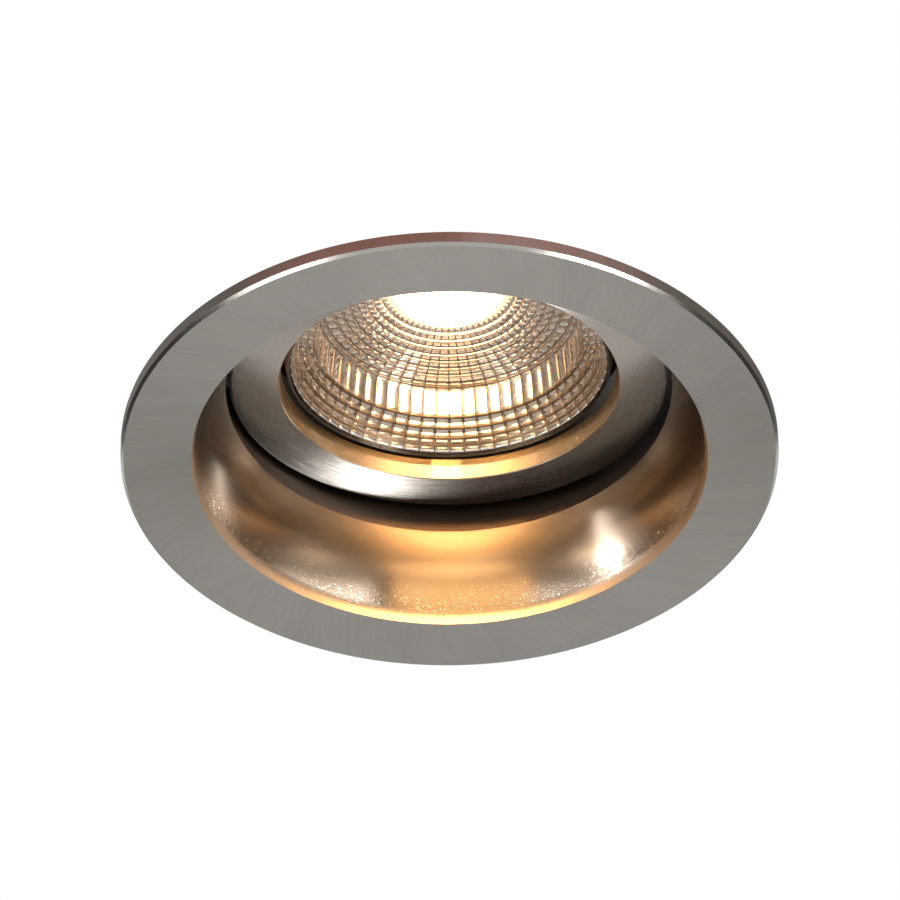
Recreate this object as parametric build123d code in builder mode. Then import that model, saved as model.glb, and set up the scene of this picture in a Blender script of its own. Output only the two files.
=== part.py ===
from build123d import *
import os
from math import cos, pi, radians, sin, sqrt

# Recessed ceiling spotlight with a tilting lamp ring, in millimetres.
# The ceiling's lower face is z = 0. The light shines down, and the spring clips grip the board from above.

# Clearances
RUNNING_CLEARANCE = 0.05
THREAD_CLEARANCE = 0.05
ASSEMBLY_GAP = 0.1
FREE_GAP = 0.35

# Lamp: depths are measured up the lamp's axis from the front face of the gimbal ring
LAMP_RADIUS = 25.2
LENS_INSET = 0.3
LENS_THICKNESS = 1.2
LENS_SETBACK = 3.2
LENS_EDGE = 0.4
LENS_RIM = 0.62
REFLECTOR_THROAT_RADIUS = 9.0
REFLECTOR_DEPTH = 12.0
REFLECTOR_WALL = 0.7
REFLECTOR_RIM = 0.35
LED_CHIP_RADIUS = 7.5
LED_CHIP_THICKNESS = 1.0
LED_BOARD_RADIUS = 18.0
LED_BOARD_THICKNESS = 1.2
BOARD_SCREW_RADIUS = 1.0
BOARD_SCREW_HEAD = 1.8
BOARD_SCREW_HEAD_HEIGHT = 1.2
BOARD_SCREW_LENGTH = 2.8
SHELL_WALL = 1.2
SHELL_STRAIGHT = 5.0
SHELL_TAPER = 30.5
SHELL_END_RADIUS = 14.8
SHELL_RIM_WALL = 0.45
SHELL_RIM_DEPTH = 2.0
RIB_COUNT = 24
RIB_THICKNESS = 1.2
RIB_HEIGHT = 1.3
RIB_RUN_IN = 4.0
HEATSINK_PLATE = 2.0
HEATSINK_WALL = 1.2
HEATSINK_LENGTH = 16.0
BASE_PLUG = 2.0
BASE_FLANGE = 2.0
BASE_BOSS_LENGTH = 8.2
BASE_BOSS_SPAN = 22.0
BASE_BOSS_WIDTH = 12.0
PIN_SPACING = 10.0
PIN_NECK_RADIUS = 1.55
PIN_HEAD_RADIUS = 2.5
PIN_HEAD_CHAMFER = 0.5
PIN_ROOT = 5.0
PIN_NECK_LENGTH = 3.6
PIN_HEAD_LENGTH = 3.5
TWIST_ANGLE = 35.0

# Driver inside the lamp
DRIVER_BOARD_WIDTH = 22.0
DRIVER_BOARD_THICKNESS = 1.2
DRIVER_BOARD_GAP = 1.5
CAPACITOR_RADIUS = 4.0
CAPACITOR_LENGTH = 11.0
CAPACITOR_OFFSET = 5.0
COIL_WIDTH = 9.0
COIL_HEIGHT = 7.0
COIL_LENGTH = 9.0
RECTIFIER_WIDTH = 5.0
RECTIFIER_HEIGHT = 1.6
RECTIFIER_LENGTH = 6.0
RECTIFIER_OFFSET = 6.0
DRIVER_PART_SETBACK = 2.0

# Gimbal ring and its pivot
RING_CLEARANCE = 0.6
RING_BORE_FLARE = 0.26
RING_FACE_WIDTH = 7.56
RING_LIP = 3.5
RING_RELIEF = 1.8
RING_EDGE = 0.5
PIVOT_DEPTH = 4.65
REST_TILT = 6.2
SHOULDER_RADIUS = 2.0
PIVOT_HEAD_RADIUS = 3.6
PIVOT_HEAD_HEIGHT = 2.0
PIVOT_THREAD_RADIUS = 1.5
PIVOT_THREAD_LENGTH = 5.0
WASHER_RADIUS = 4.0

# Trim ring: flange, cone and collar
GIMBAL_CLEARANCE = 0.53
CONE_FLARE = 5.15
CONE_DEPTH = 14.4
CONE_SAG = 0.5
CONE_WALL = 2.0
FLANGE_WIDTH = 10.7
FLANGE_THICKNESS = 2.4
FLANGE_CHAMFER = 0.45
COLLAR_LEDGE = 0.65
COLLAR_WALL = 2.0
COLLAR_HEIGHT = 14.0
PIVOT_RISE = 6.0
PIVOT_PAD_RADIUS = 5.0
PIVOT_PAD_HEIGHT = 0.6
SEAL_THICKNESS = 1.0
SEAL_WIDTH = 3.5
SEAL_INSET = 1.5

# Lampholder and its bracket
HOLDER_GAP = 0.4
HOLDER_LENGTH = 28.0
HOLDER_WIDTH = 20.0
HOLDER_CORNER = 4.0
HOLDER_FRONT_WALL = 2.8
HOLDER_BODY_HEIGHT = 12.0
HOLDER_COVER_HEIGHT = 3.0
HOLDER_BARRIER = 1.6
HOLDER_SCREW_OFFSET = 11.0
HOLDER_SCREW_RADIUS = 1.5
HOLDER_SCREW_HEAD = 2.7
HOLDER_SCREW_HEAD_HEIGHT = 1.8
HOLDER_SCREW_BITE = 7.0
CONTACT_WIDTH = 4.0
CONTACT_LENGTH = 4.0
CONTACT_THICKNESS = 0.5
LEAD_HOLE_RADIUS = 1.6
LEAD_HOLE_OFFSET = 3.2
STRAP_THICKNESS = 1.2
STRAP_WIDTH = 15.0
STRAP_BEND = 1.5
STRAP_LAMP_GAP = 1.4
STRAP_FOOT = 6.0
STRAP_TOP_HALF = 17.0
STRAP_LEAD_MARGIN = 0.6
STRAP_SLOT_CORNER = 1.5
BRACKET_SCREW_SPREAD = 4.6
BRACKET_SCREW_RADIUS = 1.25
BRACKET_SCREW_HEAD = 2.1
BRACKET_SCREW_HEAD_HEIGHT = 1.5
BRACKET_SCREW_BITE = 5.0

# Spring clips
CLIP_SIDES = {"front": -1, "rear": 1}
CLIP_AXIS_HEIGHT = 14.0
CLIP_DROP = 9.0
CLIP_LENGTH = 34.0
CLIP_HALF_WIDTH = 5.2
CLIP_SHEET = 0.8
CLIP_CHEEK_RADIUS = 2.6
CLIP_HEEL = 2.2
CLIP_FLANGE_HEIGHT = 0.7
CLIP_CHEEK_RUN = 8.0
CLIP_CHEEK_HEIGHT = 1.7
CLIP_EAR_RADIUS = 2.8
CLIP_EAR_THICKNESS = 2.0
CLIP_PIN_RADIUS = 1.25
CLIP_PIN_HEAD = 2.2
CLIP_PIN_HEAD_HEIGHT = 0.8
PAD_LENGTH = 11.0
PAD_WALL = 1.0
PAD_GROOVE = 0.4
PAD_GROOVE_COUNT = 3
SPRING_WIRE = 0.8
SPRING_COIL_RADIUS = 2.2
SPRING_TURNS = 4
SPRING_PITCH = 1.6
SPRING_ANCHOR_DEPTH = 1.2
SPRING_LEG = 9.0
SPRING_BEND = 1.2
SPRING_SAMPLES = 400

# Depths up the lamp's axis
lens_back = LENS_SETBACK + LENS_THICKNESS
reflector_front = lens_back + ASSEMBLY_GAP
reflector_back = reflector_front + REFLECTOR_DEPTH
board_back = reflector_back + LED_BOARD_THICKNESS
plate_back = board_back + HEATSINK_PLATE
heatsink_end = board_back + HEATSINK_LENGTH
shell_shoulder = reflector_front + SHELL_STRAIGHT
shell_end = shell_shoulder + SHELL_TAPER
base_plug_front = shell_end - BASE_PLUG
boss_front = shell_end + BASE_FLANGE
base_end = boss_front + BASE_BOSS_LENGTH
pin_neck_end = base_end + PIN_NECK_LENGTH
pin_end = pin_neck_end + PIN_HEAD_LENGTH
holder_front = base_end + HOLDER_GAP
holder_back = holder_front + HOLDER_BODY_HEIGHT
cover_back = holder_back + HOLDER_COVER_HEIGHT
strap_back = cover_back + STRAP_THICKNESS

# Radii about the lamp's axis
lens_radius = LAMP_RADIUS - LENS_INSET
reflector_mouth = lens_radius - LENS_RIM
ring_bore_back = LAMP_RADIUS + RING_CLEARANCE
ring_bore_front = ring_bore_back + RING_BORE_FLARE
ring_relief = ring_bore_back + RING_RELIEF
gimbal_radius = ring_bore_front + RING_FACE_WIDTH
ring_depth = 2 * PIVOT_DEPTH

# Radii and heights of the trim ring
cone_top_radius = gimbal_radius + GIMBAL_CLEARANCE
aperture_radius = cone_top_radius + CONE_FLARE
flange_radius = aperture_radius + FLANGE_WIDTH
collar_inner = cone_top_radius + COLLAR_LEDGE
collar_outer = collar_inner + COLLAR_WALL
flange_back = -SEAL_THICKNESS
flange_front = flange_back - FLANGE_THICKNESS
cone_top = flange_front + CONE_DEPTH
collar_top = cone_top + COLLAR_HEIGHT
pivot_height = cone_top + PIVOT_RISE
pivot_pad_face = collar_outer + PIVOT_PAD_HEIGHT

# Clip layout, from the collar outwards and from the spring out along the pin
coil_reach = SPRING_COIL_RADIUS + SPRING_WIRE / 2
clip_axis_y = collar_outer + FREE_GAP + coil_reach
ear_inner = CLIP_HALF_WIDTH + FREE_GAP
ear_outer = ear_inner + CLIP_EAR_THICKNESS
clip_plate_top = -(coil_reach + FREE_GAP)
clip_plate_bottom = clip_plate_top - CLIP_SHEET
clip_flange_top = clip_plate_top + CLIP_FLANGE_HEIGHT
coil_half = SPRING_PITCH * (SPRING_TURNS - 0.25) / 2

# Planes of the tilted lamp: x across, y up the tilted ring, z along the lamp's axis
lamp_way = Vector(0, -sin(radians(REST_TILT)), cos(radians(REST_TILT)))
pivot_plane = Plane(origin=(0, 0, pivot_height), x_dir=(1, 0, 0), z_dir=lamp_way)


def lamp_plane(depth):
    """Return the plane square to the lamp's axis at a depth behind the gimbal ring's front face."""
    return pivot_plane.offset(depth - PIVOT_DEPTH)


# Profile plane of everything round on the lamp's axis: x is the radius and y the depth
lamp_profile = Plane(origin=lamp_plane(0).origin, x_dir=pivot_plane.x_dir, z_dir=-pivot_plane.y_dir)
lamp_axis = Axis(lamp_profile.origin, lamp_way)


def rib_plane(angle):
    """Return the profile plane of the lamp turned about the lamp's axis."""
    across, up = pivot_plane.x_dir, pivot_plane.y_dir
    outwards = across * cos(radians(angle)) + up * sin(radians(angle))
    square = across * sin(radians(angle)) - up * cos(radians(angle))
    return Plane(origin=lamp_profile.origin, x_dir=outwards, z_dir=square)


def clip_plane(side, drop=0.0, across=0.0):
    """Return the plane square to a clip's pin: x points outwards, turned down by drop, and y points up."""
    outwards = Vector(0, side * cos(radians(drop)), -sin(radians(drop)))
    pin_way = Vector(side, 0, 0)
    origin = Vector(0, side * clip_axis_y, CLIP_AXIS_HEIGHT) + pin_way * across
    return Plane(origin=origin, x_dir=outwards, z_dir=pin_way)


def pivot_end_plane(end, reach):
    """Return the plane square to the pivot axis, facing outwards, at a reach from the middle."""
    return Plane(origin=(end * reach, 0, pivot_height), x_dir=(0, 1, 0), z_dir=(end, 0, 0))


def shell_radius(depth):
    """Return the outer radius of the lamp's tapered shell at a depth behind its shoulder."""
    share = (depth - shell_shoulder) / SHELL_TAPER
    return LAMP_RADIUS - (LAMP_RADIUS - SHELL_END_RADIUS) * share


def socket_screw(seat, head_radius, head_height, shank_radius, shank_length):
    """Return a screw with a hexagon socket: its head stands on the seat plane and its shank runs down."""
    with BuildPart() as screw:
        with BuildSketch(seat):
            Circle(head_radius)
        extrude(amount=head_height)
        with BuildSketch(seat):
            Circle(shank_radius)
        extrude(amount=-shank_length)
        with BuildSketch(seat.offset(head_height)):
            RegularPolygon(head_radius / 2, 6)
        extrude(amount=-head_height / 2, mode=Mode.SUBTRACT)
    return screw.part


def biarc_joint(start, start_way, end, end_way):
    """Return the point and direction where two equal tangent arcs between the given ends meet."""
    chord = end - start
    ways = start_way + end_way
    turn = 2 * (1 - start_way.dot(end_way))
    along = chord.dot(ways)
    reach = (sqrt(along * along + turn * chord.dot(chord)) - along) / turn
    near = start + start_way * reach
    far = end - end_way * reach
    return (near + far) / 2, (far - near).normalized()


# Trim ring: flange, cone and collar, with pivot pads at the sides and clip ears at front and rear
cone_middle = (
    (aperture_radius + cone_top_radius) / 2 - CONE_SAG,
    (cone_top + flange_front) / 2,
)
cone_share = FLANGE_THICKNESS / CONE_DEPTH
cone_back_radius = aperture_radius - CONE_FLARE * cone_share + CONE_WALL
ear_root = clip_axis_y - collar_outer + COLLAR_WALL / 2
with BuildPart() as trim_ring:
    with BuildSketch(Plane.XZ):
        with BuildLine():
            cone = ThreePointArc((cone_top_radius, cone_top), cone_middle, (aperture_radius, flange_front))
            Polyline(
                cone @ 1,
                (flange_radius - FLANGE_CHAMFER, flange_front),
                (flange_radius, flange_front + FLANGE_CHAMFER),
                (flange_radius, flange_back),
                (cone_back_radius, flange_back),
                (collar_outer, cone_top),
                (collar_outer, collar_top),
                (collar_inner, collar_top),
                (collar_inner, cone_top),
                cone @ 0,
            )
        make_face()
    revolve(axis=Axis.Z)
    for end in (-1, 1):
        pad_root = collar_inner + COLLAR_WALL / 2
        with BuildSketch(pivot_end_plane(end, pad_root)):
            Circle(PIVOT_PAD_RADIUS)
        extrude(amount=pivot_pad_face - pad_root)
        with BuildSketch(pivot_end_plane(end, pivot_pad_face)):
            Circle(SHOULDER_RADIUS + RUNNING_CLEARANCE)
        extrude(amount=-2 * COLLAR_WALL, mode=Mode.SUBTRACT)
    for side in CLIP_SIDES.values():
        for across in (-ear_outer, ear_inner):
            with BuildSketch(clip_plane(side, across=across)):
                Circle(CLIP_EAR_RADIUS)
                with Locations((-ear_root / 2, 0)):
                    Rectangle(ear_root, 2 * CLIP_EAR_RADIUS)
                Circle(CLIP_PIN_RADIUS + RUNNING_CLEARANCE, mode=Mode.SUBTRACT)
            extrude(amount=CLIP_EAR_THICKNESS)
        anchor_floor = collar_outer - SPRING_ANCHOR_DEPTH
        anchor_middle = (-side * coil_half, side * anchor_floor, CLIP_AXIS_HEIGHT + SPRING_COIL_RADIUS)
        with BuildSketch(Plane(origin=anchor_middle, x_dir=(side, 0, 0), z_dir=(0, side, 0))):
            Circle(SPRING_WIRE / 2 + FREE_GAP)
        extrude(amount=2 * SPRING_ANCHOR_DEPTH, mode=Mode.SUBTRACT)

# Ceiling seal: soft ring on the back of the flange
with BuildPart() as ceiling_seal:
    with BuildSketch(Plane.XY.offset(flange_back)):
        Circle(flange_radius - SEAL_INSET)
        Circle(flange_radius - SEAL_INSET - SEAL_WIDTH, mode=Mode.SUBTRACT)
    extrude(amount=SEAL_THICKNESS)

# Gimbal ring: flat face, short lip round the lamp and a relieved back
strap_leg_foot = LAMP_RADIUS + STRAP_LAMP_GAP
foot_end = strap_leg_foot + STRAP_FOOT
bracket_screw_reach = (strap_leg_foot + STRAP_THICKNESS + foot_end) / 2 + STRAP_THICKNESS / 4
bracket_screw_points = [
    (end * bracket_screw_reach, spread)
    for end in (-1, 1)
    for spread in (-BRACKET_SCREW_SPREAD, BRACKET_SCREW_SPREAD)
]
edge_middle = (gimbal_radius - RING_EDGE * (1 - sin(pi / 4)), RING_EDGE * (1 - cos(pi / 4)))
with BuildPart() as gimbal_ring:
    with BuildSketch(lamp_profile):
        with BuildLine():
            edge = ThreePointArc((gimbal_radius - RING_EDGE, 0), edge_middle, (gimbal_radius, RING_EDGE))
            Polyline(
                edge @ 1,
                (gimbal_radius, ring_depth),
                (ring_relief, ring_depth),
                (ring_relief, RING_LIP),
                (ring_bore_back, RING_LIP),
                (ring_bore_front, 0),
                edge @ 0,
            )
        make_face()
    revolve(axis=lamp_axis)
    for end in (-1, 1):
        with BuildSketch(pivot_end_plane(end, gimbal_radius - PIVOT_THREAD_LENGTH)):
            Circle(PIVOT_THREAD_RADIUS + THREAD_CLEARANCE)
        extrude(amount=2 * PIVOT_THREAD_LENGTH, mode=Mode.SUBTRACT)
    with BuildSketch(lamp_plane(ring_depth)):
        with Locations(*bracket_screw_points):
            Circle(BRACKET_SCREW_RADIUS + THREAD_CLEARANCE)
    extrude(amount=-BRACKET_SCREW_BITE - ASSEMBLY_GAP, mode=Mode.SUBTRACT)

# Pivot screws: a head outside the pad, a shoulder in the collar's bore and a thread in the gimbal ring
shoulder_length = pivot_pad_face + RUNNING_CLEARANCE - gimbal_radius
pivot_screw_solids = []
for end in (-1, 1):
    with BuildPart() as pivot_screw:
        seat = pivot_end_plane(end, pivot_pad_face + RUNNING_CLEARANCE)
        with BuildSketch(seat):
            Circle(SHOULDER_RADIUS)
        extrude(amount=-shoulder_length)
        add(
            socket_screw(
                seat,
                PIVOT_HEAD_RADIUS,
                PIVOT_HEAD_HEIGHT,
                PIVOT_THREAD_RADIUS,
                shoulder_length + PIVOT_THREAD_LENGTH - ASSEMBLY_GAP,
            )
        )
    pivot_screw_solids.append(pivot_screw.part)
with BuildPart() as pivot_screws:
    add(pivot_screw_solids)

# Friction washers between the gimbal ring and the collar
collar_chord = sqrt(collar_inner**2 - WASHER_RADIUS**2)
washer_thickness = collar_chord - gimbal_radius - 2 * RUNNING_CLEARANCE
with BuildPart() as pivot_washers:
    for end in (-1, 1):
        with BuildSketch(pivot_end_plane(end, gimbal_radius + RUNNING_CLEARANCE)):
            Circle(WASHER_RADIUS)
            Circle(SHOULDER_RADIUS + RUNNING_CLEARANCE, mode=Mode.SUBTRACT)
        extrude(amount=washer_thickness)

# Lamp bracket: bent strap over the lampholder, with a slot that the leads slide into
lead_slot_half = LEAD_HOLE_OFFSET + LEAD_HOLE_RADIUS + STRAP_LEAD_MARGIN
lead_slot_end = LEAD_HOLE_RADIUS + STRAP_LEAD_MARGIN
with BuildPart() as lamp_bracket:
    with BuildSketch(lamp_profile):
        with BuildLine():
            FilletPolyline(
                (foot_end, ring_depth),
                (strap_leg_foot, ring_depth),
                (STRAP_TOP_HALF, cover_back),
                (-STRAP_TOP_HALF, cover_back),
                (-strap_leg_foot, ring_depth),
                (-foot_end, ring_depth),
                radius=STRAP_BEND,
            )
            offset(amount=STRAP_THICKNESS, side=Side.RIGHT)
        make_face()
    extrude(amount=STRAP_WIDTH / 2, both=True)
    with BuildSketch(lamp_plane(ring_depth)):
        with Locations(*bracket_screw_points):
            Circle(BRACKET_SCREW_RADIUS + ASSEMBLY_GAP)
    extrude(amount=STRAP_THICKNESS, mode=Mode.SUBTRACT)
    with BuildSketch(lamp_plane(cover_back)) as lead_slot:
        with Locations((0, lead_slot_end)):
            Rectangle(2 * lead_slot_half, lead_slot_end + STRAP_WIDTH, align=(Align.CENTER, Align.MAX))
        fillet(lead_slot.vertices().group_by(Axis.Y)[-1], STRAP_SLOT_CORNER)
        with Locations((-HOLDER_SCREW_OFFSET, 0), (HOLDER_SCREW_OFFSET, 0)):
            Circle(HOLDER_SCREW_RADIUS + ASSEMBLY_GAP)
    extrude(amount=STRAP_THICKNESS, mode=Mode.SUBTRACT)

# Screws through the strap's feet into the gimbal ring
bracket_screw_solids = []
for point in bracket_screw_points:
    seat = lamp_plane(ring_depth + STRAP_THICKNESS)
    seat.origin = seat.from_local_coords(Vector(*point))
    bracket_screw_solids.append(
        socket_screw(
            seat,
            BRACKET_SCREW_HEAD,
            BRACKET_SCREW_HEAD_HEIGHT,
            BRACKET_SCREW_RADIUS,
            STRAP_THICKNESS + BRACKET_SCREW_BITE,
        )
    )
with BuildPart() as bracket_screws:
    add(bracket_screw_solids)

# Lampholder body: keyhole slots in its front wall, and a chamber split by a barrier between the pins
pin_circle = PIN_SPACING / 2
slot_width = 2 * (PIN_NECK_RADIUS + FREE_GAP)
chamber_radius = pin_circle + PIN_HEAD_RADIUS + 2 * FREE_GAP
chamber_front = holder_front + HOLDER_FRONT_WALL
with BuildPart() as lampholder_body:
    with BuildSketch(lamp_plane(holder_front)):
        RectangleRounded(HOLDER_LENGTH, HOLDER_WIDTH, HOLDER_CORNER)
    extrude(amount=HOLDER_BODY_HEIGHT)
    with BuildSketch(lamp_plane(holder_front)):
        for start_angle in (0, 180):
            entry = Vector(pin_circle, 0).rotate(Axis.Z, start_angle)
            slot_middle = Edge.make_circle(
                pin_circle, start_angle=start_angle, end_angle=start_angle + TWIST_ANGLE
            )
            SlotArc(slot_middle, slot_width)
            with Locations(entry):
                Circle(PIN_HEAD_RADIUS + FREE_GAP)
    extrude(amount=HOLDER_FRONT_WALL, mode=Mode.SUBTRACT)
    with BuildSketch(lamp_plane(chamber_front)):
        Circle(chamber_radius)
        Rectangle(
            HOLDER_BARRIER, 2 * chamber_radius, rotation=TWIST_ANGLE / 2, mode=Mode.SUBTRACT
        )
    extrude(amount=holder_back - chamber_front, mode=Mode.SUBTRACT)
    with BuildSketch(lamp_plane(holder_back)):
        with Locations((-HOLDER_SCREW_OFFSET, 0), (HOLDER_SCREW_OFFSET, 0)):
            Circle(HOLDER_SCREW_RADIUS + THREAD_CLEARANCE)
    extrude(amount=-HOLDER_SCREW_BITE - ASSEMBLY_GAP, mode=Mode.SUBTRACT)

# Lampholder cover, with holes for the two leads
with BuildPart() as lampholder_cover:
    with BuildSketch(lamp_plane(holder_back)):
        RectangleRounded(HOLDER_LENGTH, HOLDER_WIDTH, HOLDER_CORNER)
        with Locations((-HOLDER_SCREW_OFFSET, 0), (HOLDER_SCREW_OFFSET, 0)):
            Circle(HOLDER_SCREW_RADIUS + ASSEMBLY_GAP, mode=Mode.SUBTRACT)
        with Locations((-LEAD_HOLE_OFFSET, 0), (LEAD_HOLE_OFFSET, 0)):
            Circle(LEAD_HOLE_RADIUS, mode=Mode.SUBTRACT)
    extrude(amount=HOLDER_COVER_HEIGHT)

# Contacts: a post under the cover and a blade just behind each pin's head
blade_front = pin_end + FREE_GAP
with BuildPart() as lampholder_contacts:
    for start_angle in (0, 180):
        middle = Vector(pin_circle, 0).rotate(Axis.Z, start_angle + TWIST_ANGLE)
        post = Vector(pin_circle + (CONTACT_LENGTH - CONTACT_THICKNESS) / 2, 0)
        post_middle = post.rotate(Axis.Z, start_angle + TWIST_ANGLE)
        with BuildSketch(lamp_plane(blade_front)):
            with Locations(middle):
                Rectangle(CONTACT_LENGTH, CONTACT_WIDTH, rotation=TWIST_ANGLE)
        extrude(amount=CONTACT_THICKNESS)
        with BuildSketch(lamp_plane(blade_front)):
            with Locations(post_middle):
                Rectangle(CONTACT_THICKNESS, CONTACT_WIDTH, rotation=TWIST_ANGLE)
        extrude(amount=holder_back - blade_front)

# Screws that hold the lampholder under the strap
lampholder_screw_solids = []
for end in (-1, 1):
    seat = lamp_plane(strap_back)
    seat.origin = seat.from_local_coords(Vector(end * HOLDER_SCREW_OFFSET, 0))
    lampholder_screw_solids.append(
        socket_screw(
            seat,
            HOLDER_SCREW_HEAD,
            HOLDER_SCREW_HEAD_HEIGHT,
            HOLDER_SCREW_RADIUS,
            strap_back - holder_back + HOLDER_SCREW_BITE,
        )
    )
with BuildPart() as lampholder_screws:
    add(lampholder_screw_solids)

# Lamp lens: clear disc with a rounded front edge
with BuildPart() as lamp_lens:
    with BuildSketch(lamp_plane(LENS_SETBACK)):
        Circle(lens_radius)
    extrude(amount=LENS_THICKNESS)
    fillet(lamp_lens.edges().sort_by(lamp_axis)[0], LENS_EDGE)

# Reflector: a thin bowl, close to a parabola, between the lens and the light source
mouth = (reflector_mouth, reflector_front)
throat = (REFLECTOR_THROAT_RADIUS, reflector_back)
bowl_middle_radius = (reflector_mouth + REFLECTOR_THROAT_RADIUS) / 2
bowl_slope = (reflector_mouth**2 - REFLECTOR_THROAT_RADIUS**2) / REFLECTOR_DEPTH
bowl_middle_depth = reflector_back - (bowl_middle_radius**2 - REFLECTOR_THROAT_RADIUS**2) / bowl_slope
with BuildPart() as reflector:
    with BuildSketch(lamp_profile):
        with BuildLine():
            inside = ThreePointArc(mouth, (bowl_middle_radius, bowl_middle_depth), throat)
            outside = ThreePointArc(
                (reflector_mouth + REFLECTOR_RIM, reflector_front),
                (bowl_middle_radius + REFLECTOR_WALL, bowl_middle_depth + REFLECTOR_WALL),
                (REFLECTOR_THROAT_RADIUS + REFLECTOR_WALL, reflector_back),
            )
            Line(inside @ 0, outside @ 0)
            Line(inside @ 1, outside @ 1)
        make_face()
    revolve(axis=lamp_axis)

# Light source and its board
with BuildPart() as led_chip:
    with BuildSketch(lamp_plane(reflector_back)):
        Circle(LED_CHIP_RADIUS)
    extrude(amount=-LED_CHIP_THICKNESS)

board_screw_reach = LED_BOARD_RADIUS - BOARD_SCREW_HEAD - BOARD_SCREW_RADIUS
board_screw_points = [(0, -board_screw_reach), (0, board_screw_reach)]
with BuildPart() as led_board:
    with BuildSketch(lamp_plane(reflector_back)):
        Circle(LED_BOARD_RADIUS)
        with Locations(*board_screw_points):
            Circle(BOARD_SCREW_RADIUS + ASSEMBLY_GAP, mode=Mode.SUBTRACT)
    extrude(amount=LED_BOARD_THICKNESS)

board_screw_solids = []
for point in board_screw_points:
    seat = Plane(origin=lamp_plane(reflector_back).from_local_coords(Vector(*point)), z_dir=-lamp_way)
    board_screw_solids.append(
        socket_screw(
            seat,
            BOARD_SCREW_HEAD,
            BOARD_SCREW_HEAD_HEIGHT,
            BOARD_SCREW_RADIUS,
            BOARD_SCREW_LENGTH,
        )
    )
with BuildPart() as board_screws:
    add(board_screw_solids)

# Heat sink: a cup behind the board, following the inside of the shell
heatsink_front_radius = shell_radius(board_back) - SHELL_WALL - ASSEMBLY_GAP
heatsink_end_radius = shell_radius(heatsink_end) - SHELL_WALL - ASSEMBLY_GAP
plate_inner_radius = shell_radius(plate_back) - SHELL_WALL - ASSEMBLY_GAP - HEATSINK_WALL
with BuildPart() as lamp_heatsink:
    with BuildSketch(lamp_profile):
        with BuildLine():
            Polyline(
                (0, board_back),
                (heatsink_front_radius, board_back),
                (heatsink_end_radius, heatsink_end),
                (heatsink_end_radius - HEATSINK_WALL, heatsink_end),
                (plate_inner_radius, plate_back),
                (0, plate_back),
                close=True,
            )
        make_face()
    revolve(axis=lamp_axis)
    with BuildSketch(lamp_plane(board_back)):
        with Locations(*board_screw_points):
            Circle(BOARD_SCREW_RADIUS + THREAD_CLEARANCE)
    extrude(amount=HEATSINK_PLATE, mode=Mode.SUBTRACT)

# Lamp shell: straight rim, tapered body and cooling ribs
rib_top = shell_shoulder + RIB_RUN_IN
rib_end = shell_end - RIB_RUN_IN
with BuildPart() as lamp_shell:
    with BuildSketch(lamp_profile):
        with BuildLine():
            Polyline(
                (LAMP_RADIUS - SHELL_RIM_WALL, reflector_front),
                (LAMP_RADIUS, reflector_front),
                (LAMP_RADIUS, shell_shoulder),
                (SHELL_END_RADIUS, shell_end),
                (SHELL_END_RADIUS - SHELL_WALL, shell_end),
                (LAMP_RADIUS - SHELL_WALL, shell_shoulder),
                (LAMP_RADIUS - SHELL_WALL, reflector_front + SHELL_RIM_DEPTH),
                (LAMP_RADIUS - SHELL_RIM_WALL, reflector_front + SHELL_RIM_DEPTH),
                close=True,
            )
        make_face()
    revolve(axis=lamp_axis)
    for index in range(RIB_COUNT):
        with BuildSketch(rib_plane(index * 360 / RIB_COUNT)):
            with BuildLine():
                Polyline(
                    (LAMP_RADIUS - SHELL_WALL / 2, shell_shoulder),
                    (LAMP_RADIUS, shell_shoulder),
                    (shell_radius(rib_top) + RIB_HEIGHT, rib_top),
                    (shell_radius(rib_end) + RIB_HEIGHT, rib_end),
                    (SHELL_END_RADIUS, shell_end),
                    (SHELL_END_RADIUS - SHELL_WALL / 2, shell_end),
                    close=True,
                )
            make_face()
        extrude(amount=RIB_THICKNESS / 2, both=True)

# Lamp base: a plug and flange that close the shell, and a boss that carries the pins
pin_middles = [Vector(pin_circle, 0).rotate(Axis.Z, TWIST_ANGLE + turn) for turn in (0, 180)]
with BuildPart() as lamp_base:
    with BuildSketch(lamp_plane(base_plug_front)):
        Circle(SHELL_END_RADIUS - SHELL_WALL - ASSEMBLY_GAP)
    extrude(amount=BASE_PLUG)
    with BuildSketch(lamp_plane(shell_end)):
        Circle(SHELL_END_RADIUS)
    extrude(amount=BASE_FLANGE)
    with BuildSketch(lamp_plane(boss_front)):
        SlotOverall(BASE_BOSS_SPAN, BASE_BOSS_WIDTH, rotation=TWIST_ANGLE)
    extrude(amount=BASE_BOSS_LENGTH)
    with BuildSketch(lamp_plane(base_end)):
        with Locations(*pin_middles):
            Circle(PIN_NECK_RADIUS + THREAD_CLEARANCE)
    extrude(amount=-PIN_ROOT - ASSEMBLY_GAP, mode=Mode.SUBTRACT)

# Twist-lock pins
with BuildPart() as lamp_pins:
    with BuildSketch(lamp_plane(base_end - PIN_ROOT)):
        with Locations(*pin_middles):
            Circle(PIN_NECK_RADIUS)
    extrude(amount=PIN_ROOT + PIN_NECK_LENGTH)
    with BuildSketch(lamp_plane(pin_neck_end)):
        with Locations(*pin_middles):
            Circle(PIN_HEAD_RADIUS)
    extrude(amount=PIN_HEAD_LENGTH)
    chamfer(lamp_pins.edges().group_by(lamp_axis)[-1], PIN_HEAD_CHAMFER)

# Driver: a board standing on the base, with its parts on both faces
driver_front = plate_back + DRIVER_BOARD_GAP
driver_part_front = driver_front + DRIVER_PART_SETBACK
board_face = DRIVER_BOARD_THICKNESS / 2
with BuildPart() as driver_board:
    with BuildSketch(lamp_plane(driver_front)):
        Rectangle(DRIVER_BOARD_WIDTH, DRIVER_BOARD_THICKNESS)
    extrude(amount=base_plug_front - driver_front)

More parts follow.
